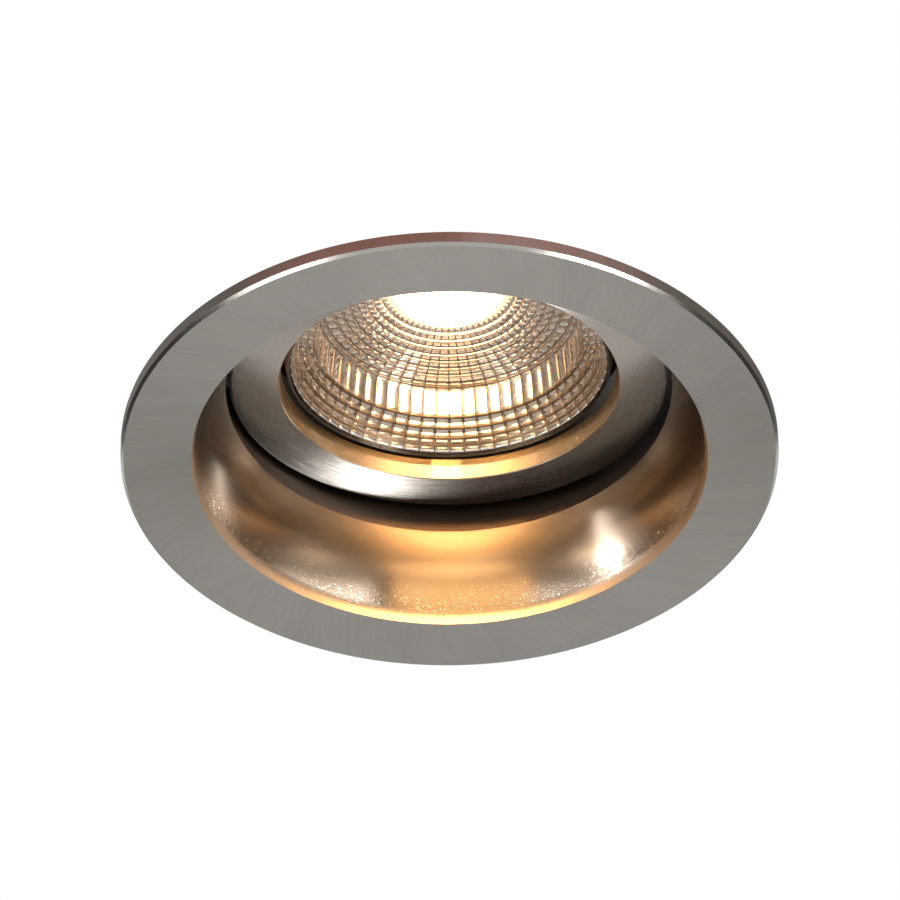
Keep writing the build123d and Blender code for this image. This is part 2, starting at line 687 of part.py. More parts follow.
with BuildPart() as driver_capacitor:
    with BuildSketch(lamp_plane(driver_part_front)):
        with Locations((-CAPACITOR_OFFSET, board_face + ASSEMBLY_GAP + CAPACITOR_RADIUS)):
            Circle(CAPACITOR_RADIUS)
    extrude(amount=CAPACITOR_LENGTH)

with BuildPart() as driver_coil:
    with BuildSketch(lamp_plane(driver_part_front)):
        with Locations((0, -board_face - COIL_HEIGHT / 2)):
            Rectangle(COIL_WIDTH, COIL_HEIGHT)
    extrude(amount=COIL_LENGTH)

with BuildPart() as driver_rectifier:
    with BuildSketch(lamp_plane(driver_part_front)):
        with Locations((RECTIFIER_OFFSET, board_face + RECTIFIER_HEIGHT / 2)):
            Rectangle(RECTIFIER_WIDTH, RECTIFIER_HEIGHT)
    extrude(amount=RECTIFIER_LENGTH)

pieces = {
    "trim_ring": trim_ring,
    "ceiling_seal": ceiling_seal,
    "gimbal_ring": gimbal_ring,
    "pivot_screws": pivot_screws,
    "pivot_washers": pivot_washers,
    "lamp_bracket": lamp_bracket,
    "bracket_screws": bracket_screws,
    "lampholder_body": lampholder_body,
    "lampholder_cover": lampholder_cover,
    "lampholder_contacts": lampholder_contacts,
    "lampholder_screws": lampholder_screws,
    "lamp_lens": lamp_lens,
    "reflector": reflector,
    "led_chip": led_chip,
    "led_board": led_board,
    "board_screws": board_screws,
    "lamp_heatsink": lamp_heatsink,
    "lamp_shell": lamp_shell,
    "lamp_base": lamp_base,
    "lamp_pins": lamp_pins,
    "driver_board": driver_board,
    "driver_capacitor": driver_capacitor,
    "driver_coil": driver_coil,
    "driver_rectifier": driver_rectifier,
}

# Spring clips: a folded wing with a soft sleeve, a riveted pin and a torsion spring on each side
pad_front = CLIP_LENGTH - PAD_LENGTH
groove_step = PAD_LENGTH / (PAD_GROOVE_COUNT + 1)
for side_name, side in CLIP_SIDES.items():
    with BuildPart() as clip_arm:
        with BuildSketch(clip_plane(side, CLIP_DROP)):
            with Locations((-CLIP_HEEL, clip_plate_bottom)):
                Rectangle(CLIP_HEEL + CLIP_LENGTH, CLIP_SHEET, align=Align.MIN)
        extrude(amount=CLIP_HALF_WIDTH, both=True)
        for across in (-CLIP_HALF_WIDTH, CLIP_HALF_WIDTH - CLIP_SHEET):
            with BuildSketch(clip_plane(side, CLIP_DROP, across)):
                with BuildLine():
                    Polyline(
                        (-CLIP_HEEL, clip_plate_bottom),
                        (CLIP_LENGTH, clip_plate_bottom),
                        (CLIP_LENGTH, clip_flange_top),
                        (pad_front, clip_flange_top),
                        (CLIP_CHEEK_RUN, clip_plate_top + CLIP_CHEEK_HEIGHT),
                        (CLIP_CHEEK_RADIUS, 0),
                        (-CLIP_CHEEK_RADIUS, 0),
                        close=True,
                    )
                make_face()
                Circle(CLIP_CHEEK_RADIUS)
                Circle(CLIP_PIN_RADIUS + RUNNING_CLEARANCE, mode=Mode.SUBTRACT)
            extrude(amount=CLIP_SHEET)
    pieces[f"clip_arm_{side_name}"] = clip_arm

    with BuildPart() as clip_pad:
        with BuildSketch(clip_plane(side, CLIP_DROP)):
            with Locations((pad_front, clip_plate_bottom - PAD_WALL)):
                Rectangle(
                    PAD_LENGTH + PAD_WALL,
                    clip_flange_top - clip_plate_bottom + 2 * PAD_WALL,
                    align=Align.MIN,
                )
        extrude(amount=CLIP_HALF_WIDTH + PAD_WALL, both=True)
        fillet(clip_pad.edges().filter_by(Axis.X), PAD_WALL / 2)
        with BuildSketch(clip_plane(side, CLIP_DROP)):
            with Locations((pad_front, clip_plate_bottom - ASSEMBLY_GAP)):
                Rectangle(
                    PAD_LENGTH + ASSEMBLY_GAP,
                    clip_flange_top - clip_plate_bottom + 2 * ASSEMBLY_GAP,
                    align=Align.MIN,
                )
        extrude(amount=CLIP_HALF_WIDTH + ASSEMBLY_GAP, both=True, mode=Mode.SUBTRACT)
        with BuildSketch(clip_plane(side, CLIP_DROP)):
            for groove in range(PAD_GROOVE_COUNT):
                with Locations((pad_front + groove_step * (groove + 1), clip_plate_bottom - PAD_WALL)):
                    Rectangle(2 * PAD_GROOVE, 2 * PAD_GROOVE)
        extrude(amount=CLIP_HALF_WIDTH + 2 * PAD_WALL, both=True, mode=Mode.SUBTRACT)
    pieces[f"clip_pad_{side_name}"] = clip_pad

    pin_half = ear_outer + RUNNING_CLEARANCE
    with BuildPart() as clip_pin:
        with BuildSketch(clip_plane(side)):
            Circle(CLIP_PIN_RADIUS)
        extrude(amount=pin_half, both=True)
        for across in (-pin_half - CLIP_PIN_HEAD_HEIGHT, pin_half):
            with BuildSketch(clip_plane(side, across=across)):
                Circle(CLIP_PIN_HEAD)
            extrude(amount=CLIP_PIN_HEAD_HEIGHT)
    pieces[f"clip_pin_{side_name}"] = clip_pin

    # Spring: a leg from its anchor hole in the collar, the coil, and a leg hooked down onto the wing
    hinge = clip_plane(side)
    wing = clip_plane(side, CLIP_DROP)
    pitch_slope = SPRING_PITCH / (2 * pi * SPRING_COIL_RADIUS)
    quarter_count = 4 * SPRING_TURNS
    coil_points = []
    coil_ways = []
    for quarter in range(quarter_count + 1):
        at_end = quarter in (0, quarter_count)
        turn = radians(90 - quarter * 90 - (CLIP_DROP if quarter == quarter_count else 0))
        advance = min(max(quarter - 0.5, 0), quarter_count - 1) * SPRING_PITCH / 4
        slope = 0 if at_end else pitch_slope
        coil_points.append(
            hinge.from_local_coords(
                Vector(SPRING_COIL_RADIUS * cos(turn), SPRING_COIL_RADIUS * sin(turn), advance - coil_half)
            )
        )
        way = hinge.x_dir * sin(turn) - hinge.y_dir * cos(turn) + hinge.z_dir * slope
        coil_ways.append(way.normalized())
    anchor_reach = clip_axis_y - collar_outer + SPRING_ANCHOR_DEPTH - FREE_GAP
    leg_end = coil_points[-1] + wing.x_dir * SPRING_LEG
    bend_end = leg_end + (wing.x_dir - wing.y_dir) * SPRING_BEND
    hook_length = SPRING_COIL_RADIUS - SPRING_BEND - clip_plate_top - ASSEMBLY_GAP
    with BuildPart() as clip_spring:
        with BuildLine() as wire:
            Line(coil_points[0] - coil_ways[0] * anchor_reach, coil_points[0])
            for quarter in range(quarter_count):
                start, start_way = coil_points[quarter], coil_ways[quarter]
                end, end_way = coil_points[quarter + 1], coil_ways[quarter + 1]
                joint, joint_way = biarc_joint(start, start_way, end, end_way)
                TangentArc(start, joint, tangent=start_way)
                TangentArc(joint, end, tangent=joint_way)
            Line(coil_points[-1], leg_end)
            TangentArc(leg_end, bend_end, tangent=wing.x_dir)
            Line(bend_end, bend_end - wing.y_dir * hook_length)
        with BuildSketch(Plane(origin=wire.line @ 0, z_dir=wire.line % 0)):
            Circle(SPRING_WIRE / 2)
        sweep()
    pieces[f"clip_spring_{side_name}"] = clip_spring

    spring_wire = wire.wire()
    spots = [spring_wire @ (index / SPRING_SAMPLES) for index in range(SPRING_SAMPLES + 1)]
    apart = int(pi * SPRING_COIL_RADIUS / spring_wire.length * SPRING_SAMPLES)
    least = min(
        (spots[later] - spots[first]).length
        for first in range(len(spots))
        for later in range(first + apart, len(spots))
    )
    print(f"clip_spring_{side_name}: least gap between turns {least - SPRING_WIRE:.2f} mm")

os.makedirs("parts", exist_ok=True)
for name, piece in pieces.items():
    piece.part.label = name
    export_step(piece.part, f"parts/{name}.step")
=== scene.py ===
"""Dress a packed recessed ceiling spotlight: finer pieces, finishes, a plain studio and a camera."""

import logging
import math
from dataclasses import dataclass, field
from enum import Enum, IntEnum
from typing import Callable, Sequence

import bmesh
import bpy
from bmesh.types import BMEdge, BMesh, BMFace, BMVert
from bpy.types import Material, Node, NodeInputs, NodeOutputs, NodeSocket, NodeTree, Object
from mathutils import Matrix, Vector


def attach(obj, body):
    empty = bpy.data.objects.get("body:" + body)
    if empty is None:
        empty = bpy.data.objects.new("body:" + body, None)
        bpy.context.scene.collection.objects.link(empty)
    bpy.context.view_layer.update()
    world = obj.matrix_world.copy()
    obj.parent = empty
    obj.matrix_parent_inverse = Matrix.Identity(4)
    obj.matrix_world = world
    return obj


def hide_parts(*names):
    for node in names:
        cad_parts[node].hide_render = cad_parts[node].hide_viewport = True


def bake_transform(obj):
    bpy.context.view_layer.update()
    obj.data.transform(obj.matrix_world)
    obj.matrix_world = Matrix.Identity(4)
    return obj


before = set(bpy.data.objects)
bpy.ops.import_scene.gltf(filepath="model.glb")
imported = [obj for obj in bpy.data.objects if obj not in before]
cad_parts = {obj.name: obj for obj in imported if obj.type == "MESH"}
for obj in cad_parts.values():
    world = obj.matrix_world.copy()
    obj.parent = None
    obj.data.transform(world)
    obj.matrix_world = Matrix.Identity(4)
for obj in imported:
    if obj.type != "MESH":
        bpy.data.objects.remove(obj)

log = logging.getLogger("spotlight")
MM = 0.001
Point = tuple[float, float]
Spot = tuple[float, float, float]
Colour = tuple[float, float, float]
Faces = list[BMFace]
Loop = list[BMVert | BMEdge]
WHITE: Colour = (1.0, 1.0, 1.0)
NEAR_ZERO = 1e-6


class Body(Enum):
    """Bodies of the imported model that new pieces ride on."""

    HOUSING = "housing"
    CARRIER = "carrier"
    LAMP = "lamp"
    CLIP_FRONT = "clip_front"
    CLIP_REAR = "clip_rear"


class Joint(Enum):
    """How a second mesh changes a first."""

    JOIN = "UNION"
    CUT = "DIFFERENCE"


class ClipSide(Enum):
    """The two spring clips, by the way they point along Y."""

    FRONT = -1.0
    REAR = 1.0

    def body(self) -> Body:
        """Return the body of this side's clip."""
        return Body.CLIP_FRONT if self is ClipSide.FRONT else Body.CLIP_REAR


class Lay(Enum):
    """How the lines of a brushed metal run, and how fast they change along their run."""

    ROUND = 1.0
    ACROSS = 0.03
    STRAIGHT = 0.02


class TrimZone(IntEnum):
    """The trim ring's finishes, in the order of its list."""

    FACE = 0
    CONE = 1
    EDGE = 2
    CHAMFER = 3
    BACK = 4
    INSIDE = 5


class RingZone(IntEnum):
    """The gimbal ring's finishes, in the order of its list."""

    FACE = 0
    WALL = 1
    LIP = 2
    RELIEF = 3


class BowlZone(IntEnum):
    """The bowl's finishes, in the order of its list."""

    CELL = 0
    JOINT = 1
    STEP = 2


class LensZone(IntEnum):
    """The lens's finishes, in the order of its list."""

    GLASS = 0
    RIM = 1


# Shader graphs


@dataclass
class Graph:
    """A node tree with short calls to add, set and link nodes."""

    tree: NodeTree

    def node(
        self, kind: str, inputs: dict[str | int, object] | None = None, **settings: object
    ) -> Node:
        """Add a node.

        Args:
            kind: The node's type without its ShaderNode prefix.
            inputs: Values or sockets for its inputs, by name or index.
            settings: Properties of the node, which are set first.

        Returns:
            The new node.
        """
        made = self.tree.nodes.new("ShaderNode" + kind)
        for name, value in settings.items():
            setattr(made, name, value)
        for name, value in (inputs or {}).items():
            self.feed(made.inputs[name], value)
        return made

    def feed(self, socket: NodeSocket, value: object) -> None:
        """Link a socket to another, or set its value.

        Args:
            socket: The input to feed.
            value: An output socket, a number, or a colour or vector.
        """
        if isinstance(value, NodeSocket):
            self.tree.links.new(value, socket)
        elif isinstance(value, tuple) and len(value) == 3 and socket.type == "RGBA":
            socket.default_value = (*value, 1.0)
        else:
            socket.default_value = value

    def math(self, operation: str, first: object, second: object = 0.0) -> NodeSocket:
        """Return the result of a Math node on one or two values or sockets."""
        return self.node("Math", {0: first, 1: second}, operation=operation).outputs[0]

    def mix(self, share: object, first: object, second: object) -> NodeSocket:
        """Return a colour mixed from two, by how much of the second shows, from 0 to 1."""
        return self.node("Mix", {0: share, 6: first, 7: second}, data_type="RGBA").outputs[2]

    def span(self, value: object, source: Point, target: Point = (0.0, 1.0)) -> NodeSocket:
        """Return a value mapped from one range to another and held within it.

        Args:
            value: The value or socket to map.
            source: Start and end of the first range.
            target: Start and end of the second range.

        Returns:
            The output socket.
        """
        ends = {"From Min": source[0], "From Max": source[1], "To Min": target[0], "To Max": target[1]}
        return self.node("MapRange", {"Value": value, **ends}).outputs["Result"]

    def noise(self, where: object, scale: object, detail: float, rough: float = 0.5) -> NodeSocket:
        """Return a noise texture's value.

        Args:
            where: The coordinates.
            scale: The texture's scale.
            detail: Its octaves.
            rough: How strong the finer octaves are.

        Returns:
            The output socket.
        """
        made = self.node("TexNoise", {"Vector": where, "Scale": scale, "Detail": detail, "Roughness": rough})
        return made.outputs["Fac"]


@dataclass
class Patterns:
    """Shader node groups that several finishes share; a noise is its scale, octaves and roughness."""

    line_noise: Spot = (6.0, 4.0, 0.7)
    line_range: Point = (0.25, 0.75)
    band_noise: Spot = (0.6, 2.0, 0.5)
    band_range: Point = (0.3, 0.7)
    grain_detail: float = 2.0
    grain_range: Point = (0.3, 0.7)
    speck_range: Point = (0.86, 1.0)
    patch_detail: float = 4.0
    patch_range: Point = (0.35, 0.65)
    dust_finer: float = 9.0
    dust_detail: float = 5.0
    dust_range: Point = (0.22, 0.42)
    brush: NodeTree = field(init=False)
    grain: NodeTree = field(init=False)
    smudge: NodeTree = field(init=False)

    def __post_init__(self) -> None:
        """Build each group once."""
        self.brush = self._brush()
        self.grain = self._grain()
        self.smudge = self._smudge()

    @staticmethod
    def _group(
        name: str, values: dict[str, float], outputs: Sequence[str]
    ) -> tuple[Graph, NodeOutputs, NodeInputs]:
        """Start a group.

        Args:
            name: The group's name.
            values: Its number inputs and their defaults, beside its vector.
            outputs: Names of its number outputs.

        Returns:
            The group's graph, and the sockets that it starts from and ends in.
        """
        tree = bpy.data.node_groups.new(name, "ShaderNodeTree")
        tree.interface.new_socket("Vector", in_out="INPUT", socket_type="NodeSocketVector")
        for label, value in values.items():
            socket = tree.interface.new_socket(label, in_out="INPUT", socket_type="NodeSocketFloat")
            socket.default_value = value
        for label in outputs:
            tree.interface.new_socket(label, in_out="OUTPUT", socket_type="NodeSocketFloat")
        start, end = (tree.nodes.new(kind) for kind in ("NodeGroupInput", "NodeGroupOutput"))
        return Graph(tree), start.outputs, end.inputs

    def _brush(self) -> NodeTree:
        """Build the group for fine lines that run along the first coordinate of its vector.

        Returns:
            The group.
        """
        graph, start, end = self._group("brush_lines", {"Fine": 1.0, "Length": 0.02}, ("Lines", "Bands"))
        parts = graph.node("SeparateXYZ", {"Vector": start["Vector"]}).outputs
        along = graph.math("MULTIPLY", parts["X"], start["Length"])
        across = graph.math("MULTIPLY", parts["Y"], start["Fine"])
        joined = graph.node("CombineXYZ", {"X": along, "Y": across, "Z": parts["Z"]}).outputs[0]
        graph.feed(end["Lines"], graph.span(graph.noise(joined, *self.line_noise), self.line_range))
        graph.feed(end["Bands"], graph.span(graph.noise(joined, *self.band_noise), self.band_range))
        return graph.tree

    def _grain(self) -> NodeTree:
        """Build the group for a fine, even grain with scattered coarser specks.

        Returns:
            The group.
        """
        graph, start, end = self._group("fine_grain", {"Scale": 2500.0}, ("Grain", "Specks"))
        fine = graph.noise(start["Vector"], start["Scale"], self.grain_detail)
        cells = graph.node("TexVoronoi", {"Vector": start["Vector"], "Scale": start["Scale"]})
        tint = graph.node("SeparateColor", {"Color": cells.outputs["Color"]})
        graph.feed(end["Grain"], graph.span(fine, self.grain_range))
        graph.feed(end["Specks"], graph.span(tint.outputs[0], self.speck_range))
        return graph.tree

    def _smudge(self) -> NodeTree:
        """Build the group for soft, uneven patches such as handling marks and dust.

        Returns:
            The group.
        """
        graph, start, end = self._group("soft_patches", {"Scale": 60.0}, ("Patches", "Dust"))
        broad = graph.noise(start["Vector"], start["Scale"], self.patch_detail)
        finer = graph.math("MULTIPLY", start["Scale"], self.dust_finer)
        fine = graph.noise(start["Vector"], finer, self.dust_detail)
        graph.feed(end["Patches"], graph.span(broad, self.patch_range))
        graph.feed(end["Dust"], graph.span(graph.math("MULTIPLY", broad, fine), self.dust_range))
        return graph.tree


@dataclass
class Surface(Graph):
    """A material's node tree, with its shader, its object coordinates and the shared groups."""

    shader: Node
    where: NodeSocket
    patterns: Patterns

    def put(self, name: str, value: object) -> None:
        """Set or link an input of the shader."""
        self.feed(self.shader.inputs[name], value)

    def group(self, tree: NodeTree, **inputs: object) -> NodeOutputs:
        """Place a shared group on the object coordinates, unless another vector is given.

        Args:
            tree: The group.
            inputs: Values or sockets for its inputs.

        Returns:
            The outputs of the group's node.
        """
        return self.node("Group", {"Vector": self.where, **inputs}, node_tree=tree).outputs

    def bump(self, height: NodeSocket, relief: Point) -> None:
        """Put a bump on the shader, from its height and its strength and full depth in metres."""
        made = self.node("Bump", {"Height": height, "Strength": relief[0], "Distance": relief[1]})
        self.put("Normal", made.outputs["Normal"])


# Finishes


@dataclass(frozen=True)
class Finish:
    """A finish: its main colour and gloss, with soft patches in both, and a fine grain."""

    name: str
    colour: Colour
    roughness: float = 0.5
    metallic: float = 0.0
    tones: Point = (0.92, 1.08)
    gloss_swing: float = 0.08
    grain_scale: float = 1800.0
    relief: Point = (0.15, 0.00004)

    def material(self, patterns: Patterns) -> Material:
        """Return the finished material.

        Args:
            patterns: The shared groups.

        Returns:
            The new material.
        """
        made = bpy.data.materials.new(self.name)
        made.use_nodes = True
        where = Graph(made.node_tree).node("TexCoord").outputs["Object"]
        surface = Surface(made.node_tree, made.node_tree.nodes["Principled BSDF"], where, patterns)
        surface.put("Base Color", self.colour)
        surface.put("Roughness", self.roughness)
        surface.put("Metallic", self.metallic)
        self.dress(surface)
        return made

    def shades(self, share: float) -> Colour:
        """Return the main colour darkened or lightened by a share."""
        return tuple(min(1.0, c * share) for c in self.colour)

    def body(self, surface: Surface, share: NodeSocket) -> NodeSocket:
        """Return the colour between the finish's two tones, by a share."""
        return surface.mix(share, *(self.shades(tone) for tone in self.tones))

    def dress(self, surface: Surface) -> None:
        """Put the finish on a material's surface.

        Args:
            surface: The surface, with the plain values set.
        """
        patches = surface.group(surface.patterns.smudge)
        grain = surface.group(surface.patterns.grain, Scale=self.grain_scale)
        surface.put("Base Color", self.body(surface, patches["Patches"]))
        gloss = surface.math("MULTIPLY", patches["Dust"], self.gloss_swing)
        surface.put("Roughness", surface.math("ADD", gloss, self.roughness - self.gloss_swing / 2))
        surface.bump(grain["Grain"], self.relief)


@dataclass(frozen=True)
class BrushedMetal(Finish):
    """Metal brushed with fine lines, round Z, across a ring, or straight along X."""

    metallic: float = 1.0
    lay: Lay = Lay.ROUND
    fine: float = 1.0
    contrast: float = 0.1
    swirl: float = 0.0
    stretch: float = 0.0
    round_turn: float = 0.25
    across_scale: float = 45.0
    band_share: float = 0.3
    gloss_swing: float = 0.10
    patch_gloss: float = 0.04
    relief: Point = (0.12, 0.00002)

    def lines(self, surface: Surface) -> NodeOutputs:
        """Place the brush lines along the finish's lay.

        Args:
            surface: The material's surface.

        Returns:
            The outputs of the lines' group.
        """
        parts = surface.node("SeparateXYZ", {"Vector": surface.where}).outputs
        x, y, z = (parts[k] for k in "XYZ")
        if self.lay is Lay.STRAIGHT:
            run = (surface.math("MULTIPLY", x, 1 / MM), surface.math("MULTIPLY", y, 1 / MM), z)
        else:
            flat = surface.node("CombineXYZ", {"X": x, "Y": y}).outputs[0]
            away = surface.node("VectorMath", {0: flat}, operation="LENGTH").outputs["Value"]
            radius = surface.math("MULTIPLY", away, 1 / MM)
            curl = surface.math("MULTIPLY", radius, self.swirl)
            turn = surface.math("ADD", surface.math("ARCTAN2", y, x), curl)
            # The angle is carried on a circle, so that the lines meet where it starts again
            ring_x, ring_y = surface.math("COSINE", turn), surface.math("SINE", turn)
            run = (ring_x, radius, ring_y)
            if self.lay is Lay.ACROSS:
                far = self.across_scale
                run = (
                    radius,
                    surface.math("MULTIPLY", ring_x, far),
                    surface.math("MULTIPLY", ring_y, far * self.fine),
                )
        joined = surface.node("CombineXYZ", dict(zip("XYZ", run))).outputs[0]
        return surface.group(surface.patterns.brush, Vector=joined, Fine=self.fine, Length=self.lay.value)

    def dress(self, surface: Surface) -> None:
        """Put lines in gloss, colour and bump on the surface, with soft patches in gloss.

        Args:
            surface: The surface, with the plain values set.
        """
        lines = self.lines(surface)
        patches = surface.group(surface.patterns.smudge)
        both = surface.math("ADD", lines["Lines"], surface.math("MULTIPLY", lines["Bands"], self.band_share))
        share = surface.math("DIVIDE", both, 1 + self.band_share)
        streaks = surface.mix(share, self.shades(1.0 - self.contrast), self.shades(1.0 + self.contrast))
        surface.put("Base Color", streaks)
        if self.stretch:
            surface.put("Anisotropic", self.stretch)
            turn = 0.0 if self.lay is Lay.ACROSS else self.round_turn
            surface.put("Anisotropic Rotation", turn)
            surface.put("Tangent", surface.node("Tangent", direction_type="RADIAL", axis="Z").outputs[0])
        gloss = surface.math("MULTIPLY", lines["Lines"], self.gloss_swing)
        gloss = surface.math("ADD", gloss, self.roughness - self.gloss_swing / 2)
        smeared = surface.math("MULTIPLY", patches["Patches"], self.patch_gloss)
        surface.put("Roughness", surface.math("ADD", gloss, smeared))
        surface.bump(lines["Lines"], self.relief)


@dataclass(frozen=True)
class BlastedMetal(Finish):
    """Satin metal with a blasted grain, specks low down that are shinier, raised and painted lighter as
    glints, and a softer lip below.
    """

    metallic: float = 1.0
    tones: Point = (0.94, 1.05)
    worn: float = 0.72
    low: float = -0.0016
    high: float = 0.003
    high_share: float = 0.1
    grain_scale: float = 4400.0
    patch_scale: float = 45.0
    grain_rise: float = 0.4
    relief: Point = (1.0, 0.00002)
    glint_speck_colour: Colour = (0.95, 0.92, 0.86)
    speck_gloss: float = 0.12
    satin: float = 0.02
    lip: Point = (-0.0024, -0.0010)
    lip_colour: Colour = (0.66, 0.56, 0.46)
    lip_roughness: float = 0.42

    def dress(self, surface: Surface) -> None:
        """Put the grain, its specks and the lip on the surface.

        Args:
            surface: The surface, with the plain values set.
        """
        grain = surface.group(surface.patterns.grain, Scale=self.grain_scale)
        patches = surface.group(surface.patterns.smudge, Scale=self.patch_scale)
        height = surface.node("SeparateXYZ", {"Vector": surface.where}).outputs["Z"]
        lower = surface.span(height, (self.low, self.high), (1.0, self.high_share))
        lip = surface.span(height, self.lip, (1.0, 0.0))
        specks = surface.math("MULTIPLY", grain["Specks"], lower)
        rubbed = surface.math("MULTIPLY", grain["Grain"], lower)
        worn = surface.mix(rubbed, self.body(surface, patches["Patches"]), self.shades(self.worn))
        # Painted glint: the specks are lighter in colour to stand for the grain's sparkle; their gloss and
        # bump are the grain's own
        flecked = surface.mix(specks, worn, self.glint_speck_colour)
        surface.put("Base Color", surface.mix(lip, flecked, self.lip_colour))
        shine = surface.math("MULTIPLY", specks, self.speck_gloss)
        gloss = surface.math("SUBTRACT", self.roughness + self.satin, shine)
        softer = surface.math("MULTIPLY", lip, self.lip_roughness - self.roughness)
        surface.put("Roughness", surface.math("ADD", gloss, softer))
        rise = surface.math("ADD", surface.math("MULTIPLY", grain["Grain"], self.grain_rise), specks)
        surface.bump(surface.math("MULTIPLY", rise, surface.math("SUBTRACT", lower, lip)), self.relief)


@dataclass(frozen=True)
class PlasticWithPaintedShade(Finish):
    """Moulded plastic with painted shade: near black in front of a depth, where the lamp's front sits inside
    the gimbal ring.
    """

    tones: Point = (0.94, 1.04)
    gloss_swing: float = 0.10
    grain_scale: float = 2200.0
    relief: Point = (0.2, 0.00003)
    shine: float = 0.15
    axis: Spot = (0.0, 0.0, 1.0)
    start: float = 0.0
    blend: float = 0.0002
    # Painted shade: the colour of the shell's front inside the gimbal ring
    rim: Colour = (0.05, 0.03, 0.02)

    def body(self, surface: Surface, share: NodeSocket) -> NodeSocket:
        """Return the colour between the two tones, or the painted shade's near black in front of its start.

        Args:
            surface: The material's surface.
            share: How much of the lighter tone shows.

        Returns:
            The colour's socket.
        """
        along = {0: surface.where, 1: self.axis}
        depth = surface.node("VectorMath", along, operation="DOT_PRODUCT").outputs["Value"]
        behind = surface.span(depth, (self.start, self.start + self.blend))
        return surface.mix(behind, self.rim, super().body(surface, share))

    def dress(self, surface: Surface) -> None:
        """Put the plastic on the surface, less shiny than plain."""
        surface.put("Specular IOR Level", self.shine)
        super().dress(surface)


@dataclass(frozen=True)
class CellFoam(Finish):
    """Soft foam with open pores at its surface."""

    tones: Point = (0.85, 1.2)
    pores: float = 1300.0
    pore_range: Point = (0.1, 0.6)
    pore_shade: float = 0.4
    pore_gloss: float = 0.06
    patch_scale: float = 90.0
    relief: Point = (0.8, 0.00015)

    def dress(self, surface: Surface) -> None:
        """Put the pores on the surface.

        Args:
            surface: The surface, with the plain values set.
        """
        cells = surface.node("TexVoronoi", {"Vector": surface.where, "Scale": self.pores}).outputs
        patches = surface.group(surface.patterns.smudge, Scale=self.patch_scale)
        rise = surface.span(cells["Distance"], self.pore_range)
        skin = self.body(surface, patches["Patches"])
        # Painted shade: the pores' hollows are darker in colour
        surface.put("Base Color", surface.mix(rise, self.shades(self.pore_shade), skin))
        dull = self.roughness + self.pore_gloss
        surface.put("Roughness", surface.span(rise, (0.0, 1.0), (dull, self.roughness)))
        surface.bump(rise, self.relief)


@dataclass(frozen=True)
class ClearGlass(Finish):
    """Clear pressed glass."""

    bend: float = 1.46
    dust_scale: float = 120.0
    dust_gloss: float = 0.02

    def dress(self, surface: Surface) -> None:
        """Put the glass and a little dust on the surface.

        Args:
            surface: The surface, with the plain values set.
        """
        surface.put("Transmission Weight", 1.0)
        surface.put("IOR", self.bend)
        dust = surface.group(surface.patterns.smudge, Scale=self.dust_scale)["Dust"]
        surface.put("Roughness", surface.math("MULTIPLY", dust, self.dust_gloss))


@dataclass(frozen=True)
class GlowingPhosphor(Finish):
    """The light source's phosphor, lit."""

    grain_scale: float = 900.0
    glow: Colour = (1.0, 0.64, 0.30)
    dimmer: float = 0.9
    strength: float = 30.0

    def dress(self, surface: Surface) -> None:
        """Put the glow on the surface, a little dimmer in its grain.

        Args:
            surface: The surface, with the plain values set.
        """
        grain = surface.group(surface.patterns.grain, Scale=self.grain_scale)["Grain"]
        dim = tuple(self.dimmer * c for c in self.glow)
        surface.put("Emission Color", surface.mix(grain, self.glow, dim))
        surface.put("Emission Strength", self.strength)


@dataclass
class Palette:
    """The materials made so far, one for each finish."""

    patterns: Patterns
    made: dict[Finish, Material] = field(default_factory=dict)

    def material(self, finish: Finish) -> Material:
        """Return a finish's material, which is made when it is first asked for.

        Args:
            finish: The finish.

        Returns:
            The material.
        """
        if finish not in self.made:
            self.made[finish] = finish.material(self.patterns)
        return self.made[finish]


# Meshes


